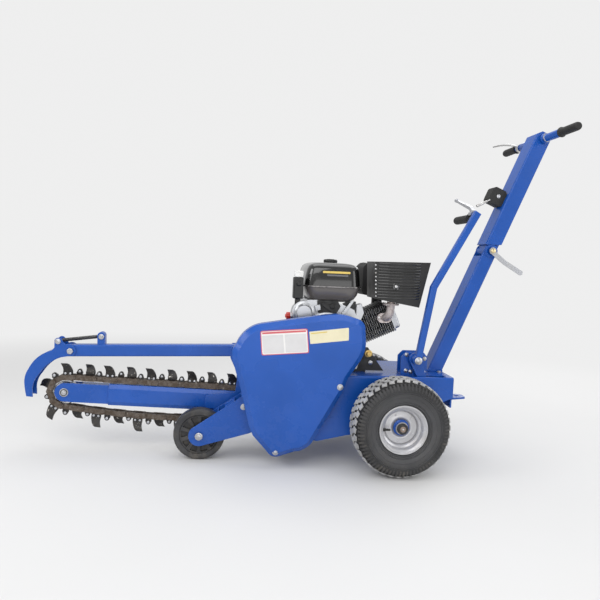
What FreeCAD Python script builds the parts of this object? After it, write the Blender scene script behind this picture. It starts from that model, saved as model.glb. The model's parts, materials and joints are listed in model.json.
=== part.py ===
import FreeCAD, Part
import math
import os

import Sketcher

# Walk-behind trencher, in millimetres, +Z up.  The digging boom points along -X, the machine's
# left side is -Y.  The origin lies on the ground in the middle of the machine's length and width.
# In the sizes below X is measured from the rear axle (positive to the rear) and Z from the ground.

SIZES = {
    # where the rear axle stands behind the part's origin
    "origin_back": 396.31,
    # rear wheels
    "tyre_radius": 190.5, "tyre_width": 152.0, "wheel_gap": 34.0, "bead_radius": 78.0,
    "flange_high": 16.0, "rim_width": 118.0, "rim_sheet": 3.5, "disc_offset": 18.0,
    "hub_radius": 30.0, "hub_long": 65.0, "axle_radius": 12.7, "hub_clearance": 0.05,
    "seat_gap": 0.3,
    # front guide wheel and its fork
    "guide_radius": 101.5, "guide_width": 50.0, "guide_x": -766.0, "guide_inset": 74.0,
    "guide_bolt_radius": 7.0, "fork_plate": 5.0, "fork_gap": 12.0, "fork_end_radius": 41.0,
    "pocket_count": 10.0,
    # chassis
    "deck_top": 360.0, "frame_half": 200.0, "frame_sheet": 6.0, "fold_radius": 9.0,
    "frame_rear": 250.0, "frame_front": -462.0, "deck_front": -400.0, "sill_z": 95.0,
    "frame_rear_drop": 98.0, "bearing_radius": 34.0, "bearing_thick": 12.0,
    "hitch_drop": 124.0, "hitch_thick": 8.0, "hitch_long": 126.0, "hitch_bore": 10.0,
    # drive cover
    "cover_deep": 62.0, "cover_bevel": 20.0, "cover_sheet": 3.0,
    # boom
    "shaft_x": -420.0, "shaft_z": 200.0, "shaft_radius": 15.0, "boom_tilt": 2.1,
    "boom_reach": 898.0, "beam_wide": 62.0, "beam_bevel": 16.0, "beam_wall": 5.0,
    "beam_start": 150.0, "nose_slide": 175.0, "nose_wide": 52.0, "nose_radius": 37.0,
    "idler_wide": 14.0, "cradle_plate": 8.0, "cradle_y": 44.0,
    # crumber bar and shoe
    "crumber_z": 215.0, "crumber_tube": 48.0, "crumber_wall": 4.0, "crumber_short": 3.0,
    "crumber_back": 190.0, "crumber_tilt": 3.6, "shoe_back": 12.0, "shoe_pin": 7.0,
    "shoe_plate": 5.0, "spring_radius": 8.0, "spring_long": 144.0, "spring_coils": 16.0,
    # digging chain
    "chain_pitch": 41.4, "chain_plate": 6.0, "chain_high": 24.0, "chain_inner": 16.0,
    "roller_radius": 8.0, "pin_radius": 5.5, "sprocket_teeth": 8.0, "beam_clear": 0.09,
    "nose_lift": 6.4, "chain_sag": 28.0, "tooth_high": 62.0, "tooth_low": 48.0, "tooth_wide": 34.0,
    # engine
    "crank_x": -270.0, "crank_high": 125.0, "rail_high": 12.0, "cylinder_tilt": 24.0,
    "case_face": 152.0, "case_top": 157.0, "fin_size": 132.0, "fin_thick": 2.6, "fin_count": 14.0,
    "fin_pitch": 9.4, "fin_drop": 30.0, "tank_x": -256.0, "tank_y": 20.0, "guard_x": -84.0,
    "guard_up": 171.0, "guard_face": -165.0, "guard_deep": 150.0, "guard_sheet": 2.5,
    "pipe_x": -4.0, "pipe_up": 93.0, "pipe_gap": 17.8, "rib_count": 9.0, "rib_pitch": 14.0,
    # columns and handle
    "column_slope": 67.5, "column_base_x": 224.0, "column_deep": 60.0, "column_wide": 90.0,
    "column_wall": 5.0, "hinge_pin": 8.0, "catch_up": 226.0, "hinge_up": 568.0,
    "upper_long": 545.0, "upper_wide": 100.0, "bar_radius": 12.7, "bar_half": 310.0,
    "grip_radius": 17.0, "grip_long": 125.0,
    # depth lever and link
    "lever_x": 90.0, "lever_up": 70.0, "lever_pin": 8.0, "lever_out": 5.0, "lever_tube": 25.0,
    "arm_long": 110.0, "lever_arm_angle": 66.0, "arm_inset": 25.0, "arm_plate": 10.0,
    "link_inset": 36.0, "link_plate": 8.0, "link_pin": 6.0, "running": 0.05,
    "bracket_inset": 54.0, "lever_grip_radius": 17.0,
}


class Size:
    """A driving size: its number and the expression that binds a property to the sheet."""

    def __init__(self, value, text):
        self.value = float(value)
        self.text = text

    def _join(self, sign, other, swap=False):
        other = other if isinstance(other, Size) else Size(other, repr(float(other)))
        left, right = (other, self) if swap else (self, other)
        value = {
            "+": lambda: left.value + right.value,
            "-": lambda: left.value - right.value,
            "*": lambda: left.value * right.value,
            "/": lambda: left.value / right.value,
        }[sign]()
        return Size(value, "(%s %s %s)" % (left.text, sign, right.text))

    def __add__(self, other):
        return self._join("+", other)

    def __radd__(self, other):
        return self._join("+", other, True)

    def __sub__(self, other):
        return self._join("-", other)

    def __rsub__(self, other):
        return self._join("-", other, True)

    def __mul__(self, other):
        return self._join("*", other)

    def __rmul__(self, other):
        return self._join("*", other, True)

    def __truediv__(self, other):
        return self._join("/", other)

    def __neg__(self):
        return Size(-self.value, "(-1 * %s)" % self.text)


def number(size):
    return size.value if isinstance(size, Size) else float(size)


def sine(angle):
    return Size(math.sin(math.radians(number(angle))), "sin(%s * 1 deg)" % angle.text)


def cosine(angle):
    return Size(math.cos(math.radians(number(angle))), "cos(%s * 1 deg)" % angle.text)


def slope(rise, run):
    """The angle in degrees of a line that rises over a run."""
    return Size(math.degrees(math.atan2(number(rise), number(run))),
                "(atan(%s / %s) / 1 deg)" % (rise.text, run.text))


def diagonal(rise, run):
    return Size(math.hypot(number(rise), number(run)),
                "sqrt(%s * %s + %s * %s)" % (rise.text, rise.text, run.text, run.text))


doc = FreeCAD.newDocument("trencher")
sheet = doc.addObject("Spreadsheet::Sheet", "dims")


def fill_sheet():
    for row, (alias, value) in enumerate(SIZES.items(), start=1):
        sheet.set("A%d" % row, alias.replace("_", " "))
        sheet.set("B%d" % row, str(value))
        sheet.setAlias("B%d" % row, alias)
    doc.recompute()


class Names:
    """The sheet's sizes by name."""

    def __getattr__(self, alias):
        return Size(float(getattr(sheet, alias)), "dims.%s" % alias)


fill_sheet()
D = Names()
PARTS = []
X, Y, Z = FreeCAD.Vector(1, 0, 0), FreeCAD.Vector(0, 1, 0), FreeCAD.Vector(0, 0, 1)


def bind(obj, prop, size):
    """Set a property from a plain number, or bind it to the sheet."""
    if isinstance(size, Size):
        obj.setExpression(prop, size.text)
    elif "." in prop:
        obj.setExpression(prop, repr(float(size)))
    else:
        setattr(obj, prop, size)


def place(obj, at, turn=None):
    """Put an object at a point of the machine; turn is (axis, degrees)."""
    if turn:
        turned_by = FreeCAD.Rotation(turn[0], number(turn[1]))
        obj.Placement = FreeCAD.Placement(FreeCAD.Vector(), turned_by)
        if isinstance(turn[1], Size):
            obj.setExpression("Placement.Rotation.Angle", "%s * 1 deg" % turn[1].text)
    for name, size in zip(("x", "y", "z"), at):
        bind(obj, "Placement.Base." + name, size)
    return obj


def finish(obj, label, at=(0, 0, 0), turn=None):
    """Give a sub-part its name and its place; at is measured from the rear axle's ground point."""
    obj.Label = label
    place(obj, (at[0] + D.origin_back, at[1], at[2]), turn)
    PARTS.append(obj)
    return obj


def body(name):
    return doc.addObject("PartDesign::Body", name)


def plane(owner, role):
    for feature in owner.Origin.OriginFeatures:
        if feature.Role == role:
            return feature
    raise ValueError("no plane " + role)


ROLE = {"XY": "XY_Plane", "XZ": "XZ_Plane", "YZ": "YZ_Plane"}


def flat_sketch(owner, on, offset=0):
    sketch = owner.newObject("Sketcher::SketchObject", "Sketch")
    sketch.AttachmentSupport = [(plane(owner, ROLE[on]), "")]
    sketch.MapMode = "FlatFace"
    bind(sketch, "AttachmentOffset.Base.z", offset)
    return sketch


def pin_point(sketch, index, vertex, u, v):
    """Fix a sketch point at (u, v) from the sketch's origin."""
    for kind, size in (("DistanceX", u), ("DistanceY", v)):
        number_of = sketch.addConstraint(
            Sketcher.Constraint(kind, -1, 1, index, vertex, number(size)))
        if isinstance(size, Size):
            sketch.setExpression("Constraints[%d]" % number_of, size.text)


def arc_between(start, end, radius):
    """The short arc from start to end; it turns left for a positive radius, right for a
    negative one.  Also gives the sketch vertices that lie at start and end."""
    chord = end - start
    size = abs(radius)
    height = math.sqrt(max(size ** 2 - chord.Length ** 2 / 4, 0.0))
    left = FreeCAD.Vector(-chord.y, chord.x, 0).normalize()
    side = 1 if radius > 0 else -1
    centre = (start + end) * 0.5 + left * (side * height)
    first, last = (start, end) if radius > 0 else (end, start)
    angles = [math.atan2(p.y - centre.y, p.x - centre.x) for p in (first, last)]
    arc = Part.ArcOfCircle(Part.Circle(centre, Z, size), *angles)
    return arc, (1, 2) if radius > 0 else (2, 1)


def draw_loop(sketch, points):
    """A closed outline whose corners are bound to sizes.  A corner (u, v, radius) starts an arc
    of that radius to the next corner."""
    flat = [FreeCAD.Vector(number(p[0]), number(p[1]), 0) for p in points]
    first = sketch.GeometryCount
    count = len(flat)
    ends = []
    for i, point in enumerate(points):
        start, stop = flat[i], flat[(i + 1) % count]
        if len(point) == 3:
            arc, order = arc_between(start, stop, number(point[2]))
            sketch.addGeometry(arc, False)
            ends.append(order)
        else:
            sketch.addGeometry(Part.LineSegment(start, stop), False)
            ends.append((1, 2))
    for i in range(count):
        after = (i + 1) % count
        sketch.addConstraint(Sketcher.Constraint(
            "Coincident", first + i, ends[i][1], first + after, ends[after][0]))
    for i, point in enumerate(points):
        pin_point(sketch, first + i, ends[i][0], point[0], point[1])
        if len(point) == 3:
            sketch.addConstraint(Sketcher.Constraint("Radius", first + i, abs(number(point[2]))))


def draw_circle(sketch, u, v, radius):
    centre = FreeCAD.Vector(number(u), number(v), 0)
    index = sketch.addGeometry(Part.Circle(centre, Z, number(radius)), False)
    pin_point(sketch, index, 3, u, v)
    made = sketch.addConstraint(Sketcher.Constraint("Radius", index, number(radius)))
    if isinstance(radius, Size):
        sketch.setExpression("Constraints[%d]" % made, radius.text)


def pad(owner, sketch, length, middle=False, back=False):
    feature = owner.newObject("PartDesign::Pad", "Pad")
    feature.Profile = sketch
    bind(feature, "Length", length)
    feature.Midplane = middle
    feature.Reversed = back
    owner.Tip = feature
    return feature


def pocket(owner, sketch, length, middle=False, back=False):
    """A pocket that must remove something."""
    doc.recompute()
    before = owner.Shape.Volume
    feature = owner.newObject("PartDesign::Pocket", "Pocket")
    feature.Profile = sketch
    bind(feature, "Length", length)
    feature.Midplane = middle
    feature.Reversed = back
    owner.Tip = feature
    doc.recompute()
    if owner.Shape.Volume > before - 1.0:
        raise ValueError(owner.Name + ": a pocket cuts nothing")
    return feature


def loft(owner, lower, upper):
    feature = owner.newObject("PartDesign::AdditiveLoft", "Loft")
    feature.Profile = lower
    feature.Sections = [upper]
    owner.Tip = feature
    return feature


def around(owner, feature, sketch, count):
    """Repeat a feature round the normal of its sketch."""
    pattern = owner.newObject("PartDesign::PolarPattern", "PolarPattern")
    pattern.Originals = [feature]
    pattern.Axis = (sketch, ["N_Axis"])
    pattern.Angle = 360
    bind(pattern, "Occurrences", count)
    owner.Tip = pattern
    return pattern


def in_line(owner, feature, sketch, axis, length, count):
    """Repeat a feature along an axis of its sketch."""
    pattern = owner.newObject("PartDesign::LinearPattern", "LinearPattern")
    pattern.Originals = [feature]
    pattern.Direction = (sketch, [axis])
    bind(pattern, "Length", length)
    bind(pattern, "Occurrences", count)
    owner.Tip = pattern
    return pattern


def runs_along(axis):
    """Picks the straight edges that run along an axis."""
    def test(edge):
        line = edge.Curve.TypeId == "Part::GeomLine"
        return line and abs(edge.Curve.Direction.dot(axis)) > 0.999
    return test


def lies_at(axis, level):
    """Picks the edges that lie whole in a plane across an axis."""
    def test(edge):
        box, goal = edge.BoundBox, number(level)
        low, high_end = (
            (box.XMin, box.XMax) if axis.x else (box.YMin, box.YMax) if axis.y
            else (box.ZMin, box.ZMax))
        return abs(low - goal) < 0.01 and abs(high_end - goal) < 0.01
    return test


def soften(owner, size, chosen, kind="Fillet"):
    """Fillet or chamfer the chosen edges of a body."""
    doc.recompute()
    base = owner.Tip
    names = ["Edge%d" % (i + 1) for i, edge in enumerate(base.Shape.Edges) if chosen(edge)]
    if not names:
        raise ValueError(owner.Name + ": no edge to soften")
    feature = owner.newObject("PartDesign::" + kind, kind)
    feature.Base = (base, names)
    bind(feature, "Radius" if kind == "Fillet" else "Size", size)
    owner.Tip = feature
    doc.recompute()
    return feature


def plate(name, on, points, length, offset=0, holes=(), middle=False, back=False):
    """A profile with round holes, padded from one of the body's own planes."""
    owner = body(name)
    sketch = flat_sketch(owner, on, offset)
    draw_loop(sketch, points)
    for u, v, radius in holes:
        draw_circle(sketch, u, v, radius)
    pad(owner, sketch, length, middle, back)
    return owner


def turned(name, points, about="Z"):
    """A profile turned about the body's own Z (drawn in XZ) or Y (drawn in XY) axis."""
    owner = body(name)
    sketch = flat_sketch(owner, "XZ" if about == "Z" else "XY")
    draw_loop(sketch, points)
    feature = owner.newObject("PartDesign::Revolution", "Revolution")
    feature.Profile = sketch
    feature.ReferenceAxis = (sketch, ["V_Axis"])
    feature.Angle = 360
    owner.Tip = feature
    return owner


def block(name, size, at=(0, 0, 0), turn=None):
    """A box from its lowest corner."""
    obj = doc.addObject("Part::Box", name)
    for prop, value in zip(("Length", "Width", "Height"), size):
        bind(obj, prop, value)
    return place(obj, at, turn)


def rod(name, radius, length, at=(0, 0, 0), along=Y):
    """A round bar that starts at a point and runs along an axis."""
    obj = doc.addObject("Part::Cylinder", name)
    bind(obj, "Radius", radius)
    bind(obj, "Height", length)
    rotation = FreeCAD.Rotation(Z, along)
    place(obj, at, (rotation.Axis, math.degrees(rotation.Angle)))
    return obj


def fuse(name, *pieces):
    obj = doc.addObject("Part::MultiFuse", name)
    obj.Shapes = list(pieces)
    return obj


def cut(name, base, tool):
    obj = doc.addObject("Part::Cut", name)
    obj.Base = base
    obj.Tool = tool
    return obj


def coded(name, shape):
    """A shape made in code from the sheet's sizes."""
    obj = doc.addObject("Part::Feature", name)
    obj.Shape = shape
    return obj


def round_box(half_u, half_v, radius, mid_u=0, mid_v=0):
    """A rectangle with round corners, as an outline."""
    u, v, r = half_u, half_v, radius
    corners = [(u - r, v, -r), (u, v - r), (u, -v + r, -r), (u - r, -v),
               (-u + r, -v, -r), (-u, -v + r), (-u, v - r, -r), (-u + r, v)]
    return [(c[0] + mid_u, c[1] + mid_v) + c[2:] for c in corners]


# ---------------------------------------------------------------- rear wheels

track_half = D.frame_half + D.wheel_gap + D.tyre_width / 2
hub_inner = track_half - D.hub_long
flange_radius = D.bead_radius + D.flange_high


def tyre_profile():
    """Half section of the tyre: radius and distance along the axle."""
    wide, tread, bead, flange = D.tyre_width / 2, D.tyre_radius, D.bead_radius, flange_radius
    edge = D.rim_width / 2
    high = tread - flange
    side = [
        (bead, edge - 10), (bead + 6, edge - 5), (flange + 1.5, edge - 2.5), (flange + 3, edge + 3),
        (flange + high * 0.187, wide - 5), (tread - high * 0.52, wide),
        (tread - high * 0.22, wide - 2), (tread - high * 0.08, wide - 12),
        (tread - 2.5, wide - 30)]
    left = [(r, -y) for r, y in side]
    right = [(r, y) for r, y in reversed(side)]
    left[4] = left[4] + (high.value * 0.6,)
    left[6] = left[6] + (26.0,)
    left[7] = left[7] + (45.0,)
    left[8] = left[8] + (430.0,)
    right[0] = right[0] + (45.0,)
    right[1] = right[1] + (26.0,)
    right[3] = right[3] + (high.value * 0.6,)
    return left + right


def rim_profile():
    """Half section of the pressed rim, a sheet that steps from the flanges to the well."""
    edge, bead, flange, skin = D.rim_width / 2, D.bead_radius, flange_radius, D.rim_sheet
    outer = [(flange, edge + 3), (flange, edge - 1), (bead + 4, edge - 4), (bead, edge - 9),
             (bead, edge - 29), (bead - 12, edge - 37)]
    inner = [(flange - skin, edge + 3), (bead + 1, edge - 1), (bead - skin, edge - 7),
             (bead - skin, edge - 27), (bead - 12 - skin, edge - 35)]
    return ([(r, -y) for r, y in outer] + [(r, y) for r, y in reversed(outer)]
            + inner + [(r, -y) for r, y in reversed(inner)])


def disc_profile(out):
    """The dished wheel disc with its hub; out is the side that faces away from the machine."""
    bore, hub, web = D.axle_radius + D.hub_clearance, D.hub_radius - 6, D.bead_radius - 14
    off, thick = out * D.disc_offset, D.rim_sheet / 2
    tip, root = out * (D.disc_offset + 20), -out * D.hub_long
    dish = off - out * 7
    return [
        (bore, tip), (hub, tip), (hub, dish + out * thick), (hub + 9, dish + out * thick),
        (hub + 14, off + out * thick), (web - 8, off + out * thick), (web, off - out * (8 - thick)),
        (web, off - out * (12 + thick)), (web - 11, off - out * thick),
        (hub + 16, off - out * thick), (hub + 11, dish - out * thick), (hub, dish - out * thick),
        (hub, root), (bore, root)]


def rear_wheel(side, out):
    """One wheel; out is -1 on the machine's left and 1 on its right."""
    at = (0, out * track_half, D.tyre_radius)
    finish(turned("tyre_" + side, tyre_profile(), "Y"), "tyre_" + side, at)
    ring = turned("rim_ring_" + side, rim_profile(), "Y")
    disc = turned("rim_disc_" + side, disc_profile(out), "Y")
    finish(fuse("rim_" + side, ring, disc), "rim_" + side, at)


rear_wheel("left", -1)
rear_wheel("right", 1)

reach = track_half + D.disc_offset + 20
collar_in = D.frame_half + D.bearing_thick + D.seat_gap
collar_out = hub_inner - D.seat_gap
nut_in = reach + D.seat_gap
axle = turned("rear_axle", [
    (0, -nut_in - 13), (18, -nut_in - 13), (21, -nut_in - 10), (21, -nut_in),
    (D.axle_radius, -nut_in), (D.axle_radius, -collar_out), (20, -collar_out),
    (20, -collar_in), (D.axle_radius, -collar_in), (D.axle_radius, collar_in), (20, collar_in),
    (20, collar_out), (D.axle_radius, collar_out), (D.axle_radius, nut_in), (21, nut_in),
    (21, nut_in + 10), (18, nut_in + 13), (0, nut_in + 13)], "Y")
finish(axle, "rear_axle", (0, 0, D.tyre_radius))

# ---------------------------------------------------------------- chassis

arm_y = D.arm_inset - D.frame_half
link_y = D.link_inset - D.frame_half
low_rear = D.deck_top - D.frame_rear_drop
fork_in = D.guide_width / 2 + D.fork_gap
guide_y = D.guide_inset - D.frame_half
wall_end = guide_y + fork_in + D.fork_plate + 18
side_outline = [
    (D.deck_front, D.deck_top), (D.frame_rear, D.deck_top), (D.frame_rear, low_rear + 15),
    (D.frame_rear - 36, low_rear), (120, 165), (60, 146), (-180, 120), (-300, D.sill_z),
    (D.frame_front + 20, 120), (D.frame_front, 150), (D.frame_front, 300)]
frame = plate("chassis_frame", "XZ", side_outline, 2 * D.frame_half, middle=True, holes=[
    (0, D.tyre_radius, D.bearing_radius - 10), (D.shaft_x, D.shaft_z, D.shaft_radius + 1)])
hollow = flat_sketch(frame, "XZ")
under_deck = D.deck_top - D.frame_sheet
draw_loop(hollow, [
    (D.frame_front - 30, 0), (D.frame_rear + 30, 0), (D.frame_rear + 30, under_deck),
    (D.frame_front - 30, under_deck)])
pocket(frame, hollow, 2 * (D.frame_half - D.frame_sheet), middle=True)
soften(frame, D.fold_radius, lambda e: runs_along(X)(e) and lies_at(Z, D.deck_top)(e))
front_wall = flat_sketch(frame, "YZ", D.frame_front)
draw_loop(front_wall, [
    (-D.frame_half + 1, 125), (wall_end, 125), (wall_end, 298), (-D.frame_half + 1, 298)])
pad(frame, front_wall, D.frame_sheet)
slot = flat_sketch(frame, "XY", D.deck_top + 1)
slot_near, slot_far = arm_y - D.arm_plate / 2 - 9, link_y + D.link_plate / 2 + 7
draw_loop(slot, [
    (D.lever_x - 50, slot_near), (D.lever_x + D.arm_long + 22, slot_near),
    (D.lever_x + D.arm_long + 22, slot_far), (D.lever_x - 50, slot_far)])
pocket(frame, slot, D.frame_sheet + 4)
finish(frame, "chassis_frame")

inside = D.frame_half - D.frame_sheet - D.seat_gap
hitch_hole_at = D.hitch_long - 32
hitch = plate("rear_hitch", "XY", [
    (-44, -90), (0, -90), (0, -68), (D.hitch_long - 8, -28, 12), (D.hitch_long, -18),
    (D.hitch_long, 18, 12), (D.hitch_long - 8, 28), (0, 68), (0, 90), (-44, 90)],
    D.hitch_thick, holes=[(hitch_hole_at, 0, D.hitch_bore)])
cross = flat_sketch(hitch, "YZ", -8)
cross_high = D.hitch_drop - D.frame_sheet - 8
draw_loop(cross, [(-inside, 0), (inside, 0), (inside, cross_high), (-inside, cross_high)])
pad(hitch, cross, 6)
finish(hitch, "rear_hitch", (D.frame_rear, 0, D.deck_top - D.hitch_drop))


def flange_bearing(name, radius, out):
    """A bolted flange bearing: a turned housing with its bore."""
    tall = D.bearing_thick
    return turned(name, [
        (radius, 0), (D.bearing_radius, 0), (D.bearing_radius, out * tall * 0.45),
        (D.bearing_radius - 9, out * tall * 0.6), (D.bearing_radius - 10, out * tall),
        (radius, out * tall)], "Y")


bearings = []
for name, x, z, radius, y, out in (
        ("axle_l", 0, D.tyre_radius, D.axle_radius, -D.frame_half, -1),
        ("axle_r", 0, D.tyre_radius, D.axle_radius, D.frame_half, 1),
        ("shaft_l", D.shaft_x, D.shaft_z, D.shaft_radius, -D.frame_half + D.frame_sheet, 1),
        ("shaft_r", D.shaft_x, D.shaft_z, D.shaft_radius, D.frame_half, 1)):
    bearings.append(place(flange_bearing("bearing_" + name, radius + D.running, out), (x, y, z)))
finish(fuse("shaft_bearings", *bearings), "shaft_bearings")

shaft_out = D.frame_half + D.bearing_thick + 14
shaft = turned("head_shaft", [
    (0, -D.frame_half), (D.shaft_radius, -D.frame_half), (D.shaft_radius, shaft_out),
    (D.shaft_radius - 2, shaft_out + 2), (0, shaft_out + 2)], "Y")
finish(shaft, "head_shaft", (D.shaft_x, 0, D.shaft_z))

# ---------------------------------------------------------------- front guide wheel

guide_half, guide_out = D.guide_width / 2, D.guide_radius
GUIDE = (D.guide_x, guide_y, D.guide_radius)
hub_bore = D.guide_bolt_radius + D.running
guide = turned("front_wheel", [
    (hub_bore, -guide_half - 4), (20, -guide_half - 4), (24, -guide_half + 6),
    (guide_out - 26, -guide_half + 6), (guide_out - 22, -guide_half),
    (guide_out - 10, -guide_half, 10), (guide_out, -guide_half + 9),
    (guide_out, guide_half - 9, 10), (guide_out - 10, guide_half),
    (guide_out - 22, guide_half), (guide_out - 26, guide_half - 6),
    (24, guide_half - 6), (20, guide_half + 4), (hub_bore, guide_half + 4)], "Y")
pocket_in, pocket_out = 31, guide_out - 32
for offset, back in ((guide_half - 6, False), (-guide_half + 6, True)):
    recess = flat_sketch(guide, "XZ", offset)
    draw_loop(recess, [
        (pocket_in, -5, -6), (pocket_in, 5), (pocket_out, 14, -40), (pocket_out, -14)])
    around(guide, pocket(guide, recess, 11, back=back), recess, D.pocket_count)
finish(guide, "front_wheel", GUIDE)

back_end = D.frame_front - D.guide_x
end = D.fork_end_radius
fork_outline = [
    (-30, 28), (-13, 40), (164, 160), (back_end, 160), (back_end, 60), (196, 12),
    (9, -40, -end.value), (-end, 0, -end.value)]


def fork_cheek(name, offset):
    return plate(name, "XZ", fork_outline, D.fork_plate, offset,
                 holes=[(0, 0, D.guide_bolt_radius + D.seat_gap)])


def strip_piece(name, start, finish_at):
    """A stretch of the plate that joins the two cheeks along their sloping top edge."""
    rise, drop = 0.678, 4.5
    return plate(name, "XZ", [
        (start, 88.8 + (start - 66) * rise - drop), (start, 88.8 + (start - 66) * rise),
        (finish_at, 88.8 + (finish_at - 66) * rise),
        (finish_at, 88.8 + (finish_at - 66) * rise - drop)], 2 * fork_in, middle=True)


fork = fuse("front_fork", fork_cheek("fork_outer", fork_in),
            fork_cheek("fork_inner", -fork_in - D.fork_plate),
            strip_piece("strip_front", 69, 74), strip_piece("strip_middle", 98, 136),
            strip_piece("strip_rear", 161, 168))
finish(fork, "front_fork", GUIDE)

bolt_out = fork_in + D.fork_plate
guide_bolt = turned("front_axle", [
    (0, -bolt_out - 9), (9, -bolt_out - 9), (11, -bolt_out - 7), (11, -bolt_out - 0.1),
    (D.guide_bolt_radius, -bolt_out - 0.1), (D.guide_bolt_radius, bolt_out + 0.1),
    (11, bolt_out + 0.1), (11, bolt_out + 8), (9, bolt_out + 10), (0, bolt_out + 10)], "Y")
finish(guide_bolt, "front_axle", GUIDE)

# ---------------------------------------------------------------- drive cover

cover_outline = [
    (-558, 128), (-574, 165), (-612, 312), (-643, 410, -75), (-632, 484, -125), (-535, 562),
    (-325, 598), (-250, 606, -190), (-175, 592, -42), (-136, 548), (-131, 497, -140),
    (-150, 428), (-195, 358), (-213, 305), (-326, 102, -90), (-395, 66), (-452, 47, -40),
    (-500, 64)]


def outline_wire(points, y):
    """An outline of lines and arcs as a wire in the plane across Y."""
    flat = [FreeCAD.Vector(number(p[0]), number(p[1]), 0) for p in points]
    edges = []
    for i, point in enumerate(points):
        start, stop = flat[i], flat[(i + 1) % len(flat)]
        if len(point) == 3:
            edges.append(arc_between(start, stop, number(point[2]))[0].toShape())
        else:
            edges.append(Part.LineSegment(start, stop).toShape())
    wire = Part.Wire(Part.__sortEdges__(edges))
    wire.rotate(FreeCAD.Vector(), X, 90)
    wire.translate(Y * y)
    return wire


def drawn_in(wire, inset, y):
    """The outline drawn in by an inset, and moved along Y."""
    drawn = wire.makeOffset2D(-inset, 2) if inset else wire.copy()
    drawn.translate(Y * y)
    return drawn


def tray(outline, inset, deep, bevel):
    """A closed pan: straight walls, then a bevel up to the face."""
    rim = drawn_in(outline, inset, 0)
    wall = Part.Face(rim).extrude(Y * (bevel - deep))
    face = drawn_in(outline, inset + bevel, -deep)
    edge = drawn_in(outline, inset, bevel - deep)
    return wall.fuse(Part.makeLoft([edge, face], True, True)).removeSplitter()


def cover_shape():
    """A pressed tray, open towards the chassis."""
    outline = outline_wire(cover_outline, 0)
    deep, bevel, skin = D.cover_deep.value, D.cover_bevel.value, D.cover_sheet.value
    return tray(outline, 0, deep, bevel).cut(tray(outline, skin, deep - skin, bevel))


finish(coded("drive_cover", cover_shape()), "drive_cover", (0, -D.frame_half - D.seat_gap, 0))

# ---------------------------------------------------------------- boom

sprocket_radius = D.chain_pitch / (2 * sine(Size(180, "180") / D.sprocket_teeth))
nose_pitch_radius = sprocket_radius + D.nose_lift
link_half_high = D.chain_high / 2 - 1


def boom_point(u, w):
    """A point given along and above the boom, from the head shaft."""
    return (D.shaft_x + u * cosine(D.boom_tilt) + w * sine(D.boom_tilt), 0,
            D.shaft_z - u * sine(D.boom_tilt) + w * cosine(D.boom_tilt))


BOOM = ((D.shaft_x, 0, D.shaft_z), (Y, D.boom_tilt))
high, wide, bevel = sprocket_radius - link_half_high - D.beam_clear, D.beam_wide / 2, D.beam_bevel
beam = body("boom_beam")


def beam_section(inset):
    """The beam's bevelled section, drawn in by a wall."""
    side, top, corner = wide - inset, high - inset, bevel - inset * 0.3
    return [(-side, -top + corner), (-side + 9, -top), (side - 9, -top), (side, -top + corner),
            (side, top - corner), (side - 9, top), (-side + 9, top), (-side, top - corner)]


section = flat_sketch(beam, "YZ")
draw_loop(section, beam_section(0))
draw_loop(section, beam_section(D.beam_wall))
pad(beam, section, D.boom_reach - D.beam_start - D.nose_slide)
finish(beam, "boom_beam", boom_point(-D.boom_reach + D.nose_slide, 0), (Y, D.boom_tilt))

idler_radius = nose_pitch_radius - D.roller_radius - 0.3
nose_half, nose_side = high - 5, D.nose_wide / 2
nose_end = D.nose_slide - D.seat_gap
tip_r = D.nose_radius.value
nose = plate("nose_box", "XZ", [
    (-D.nose_radius, 0, -tip_r), (0, D.nose_radius), (30, nose_half), (nose_end, nose_half),
    (nose_end, -nose_half), (30, -nose_half), (0, -D.nose_radius, -tip_r)],
    D.nose_wide, middle=True)
fork_slot = flat_sketch(nose, "XZ")
slot_end = idler_radius + 14
draw_loop(fork_slot, [(-60, -60), (slot_end, -60), (slot_end, 60), (-60, 60)])
pocket(nose, fork_slot, D.idler_wide + 12, middle=True)
tongue = flat_sketch(nose, "YZ", nose_end)
draw_loop(tongue, beam_section(D.beam_wall + D.seat_gap))
pad(nose, tongue, 80)
NOSE = boom_point(-D.boom_reach, 0)
nose_bolt = rod("nose_bolt", 9, D.nose_wide + 8, (0, -nose_side - 4, 0))
finish(fuse("nose_all", nose, nose_bolt), "boom_nose", NOSE, (Y, D.boom_tilt))

idler_half = D.idler_wide / 2
idler = turned("nose_wheel", [
    (9.05, -idler_half - 5), (20, -idler_half - 5), (20, -idler_half + 3),
    (idler_radius - 12, -idler_half + 3), (idler_radius - 9, -idler_half),
    (idler_radius - 3, -idler_half), (idler_radius, -idler_half + 2),
    (idler_radius, idler_half - 2), (idler_radius - 3, idler_half),
    (idler_radius - 9, idler_half), (idler_radius - 12, idler_half - 3),
    (20, idler_half - 3), (20, idler_half + 5), (9.05, idler_half + 5)], "Y")
finish(idler, "nose_wheel", NOSE, (Y, D.boom_tilt))


def chain_path():
    """The chain's pitch line as close points, from the back of the sprocket over the top."""
    reach_v, head, tip = D.boom_reach.value, sprocket_radius.value, nose_pitch_radius.value
    lean = math.asin((tip - head) / reach_v)
    points = []

    def arc(x, radius, start, end):
        for i in range(61):
            a = start + (end - start) * i / 60
            points.append((x + radius * math.cos(a), radius * math.sin(a)))

    top = math.pi / 2 - lean
    arc(0, head, 0, top)
    arc(-reach_v, tip, top, 1.5 * math.pi + 0.06)
    (x0, z0), x1, z1 = points[-1], head * math.cos(1.5 * math.pi + 0.1), -head
    for i in range(1, 120):
        share = i / 120
        sag = 4 * D.chain_sag.value * share * (1 - share)
        points.append((x0 + (x1 - x0) * share, z0 + (z1 - z0) * share - sag))
    arc(0, head, 1.5 * math.pi + 0.1, 2 * math.pi)
    return points


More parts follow.
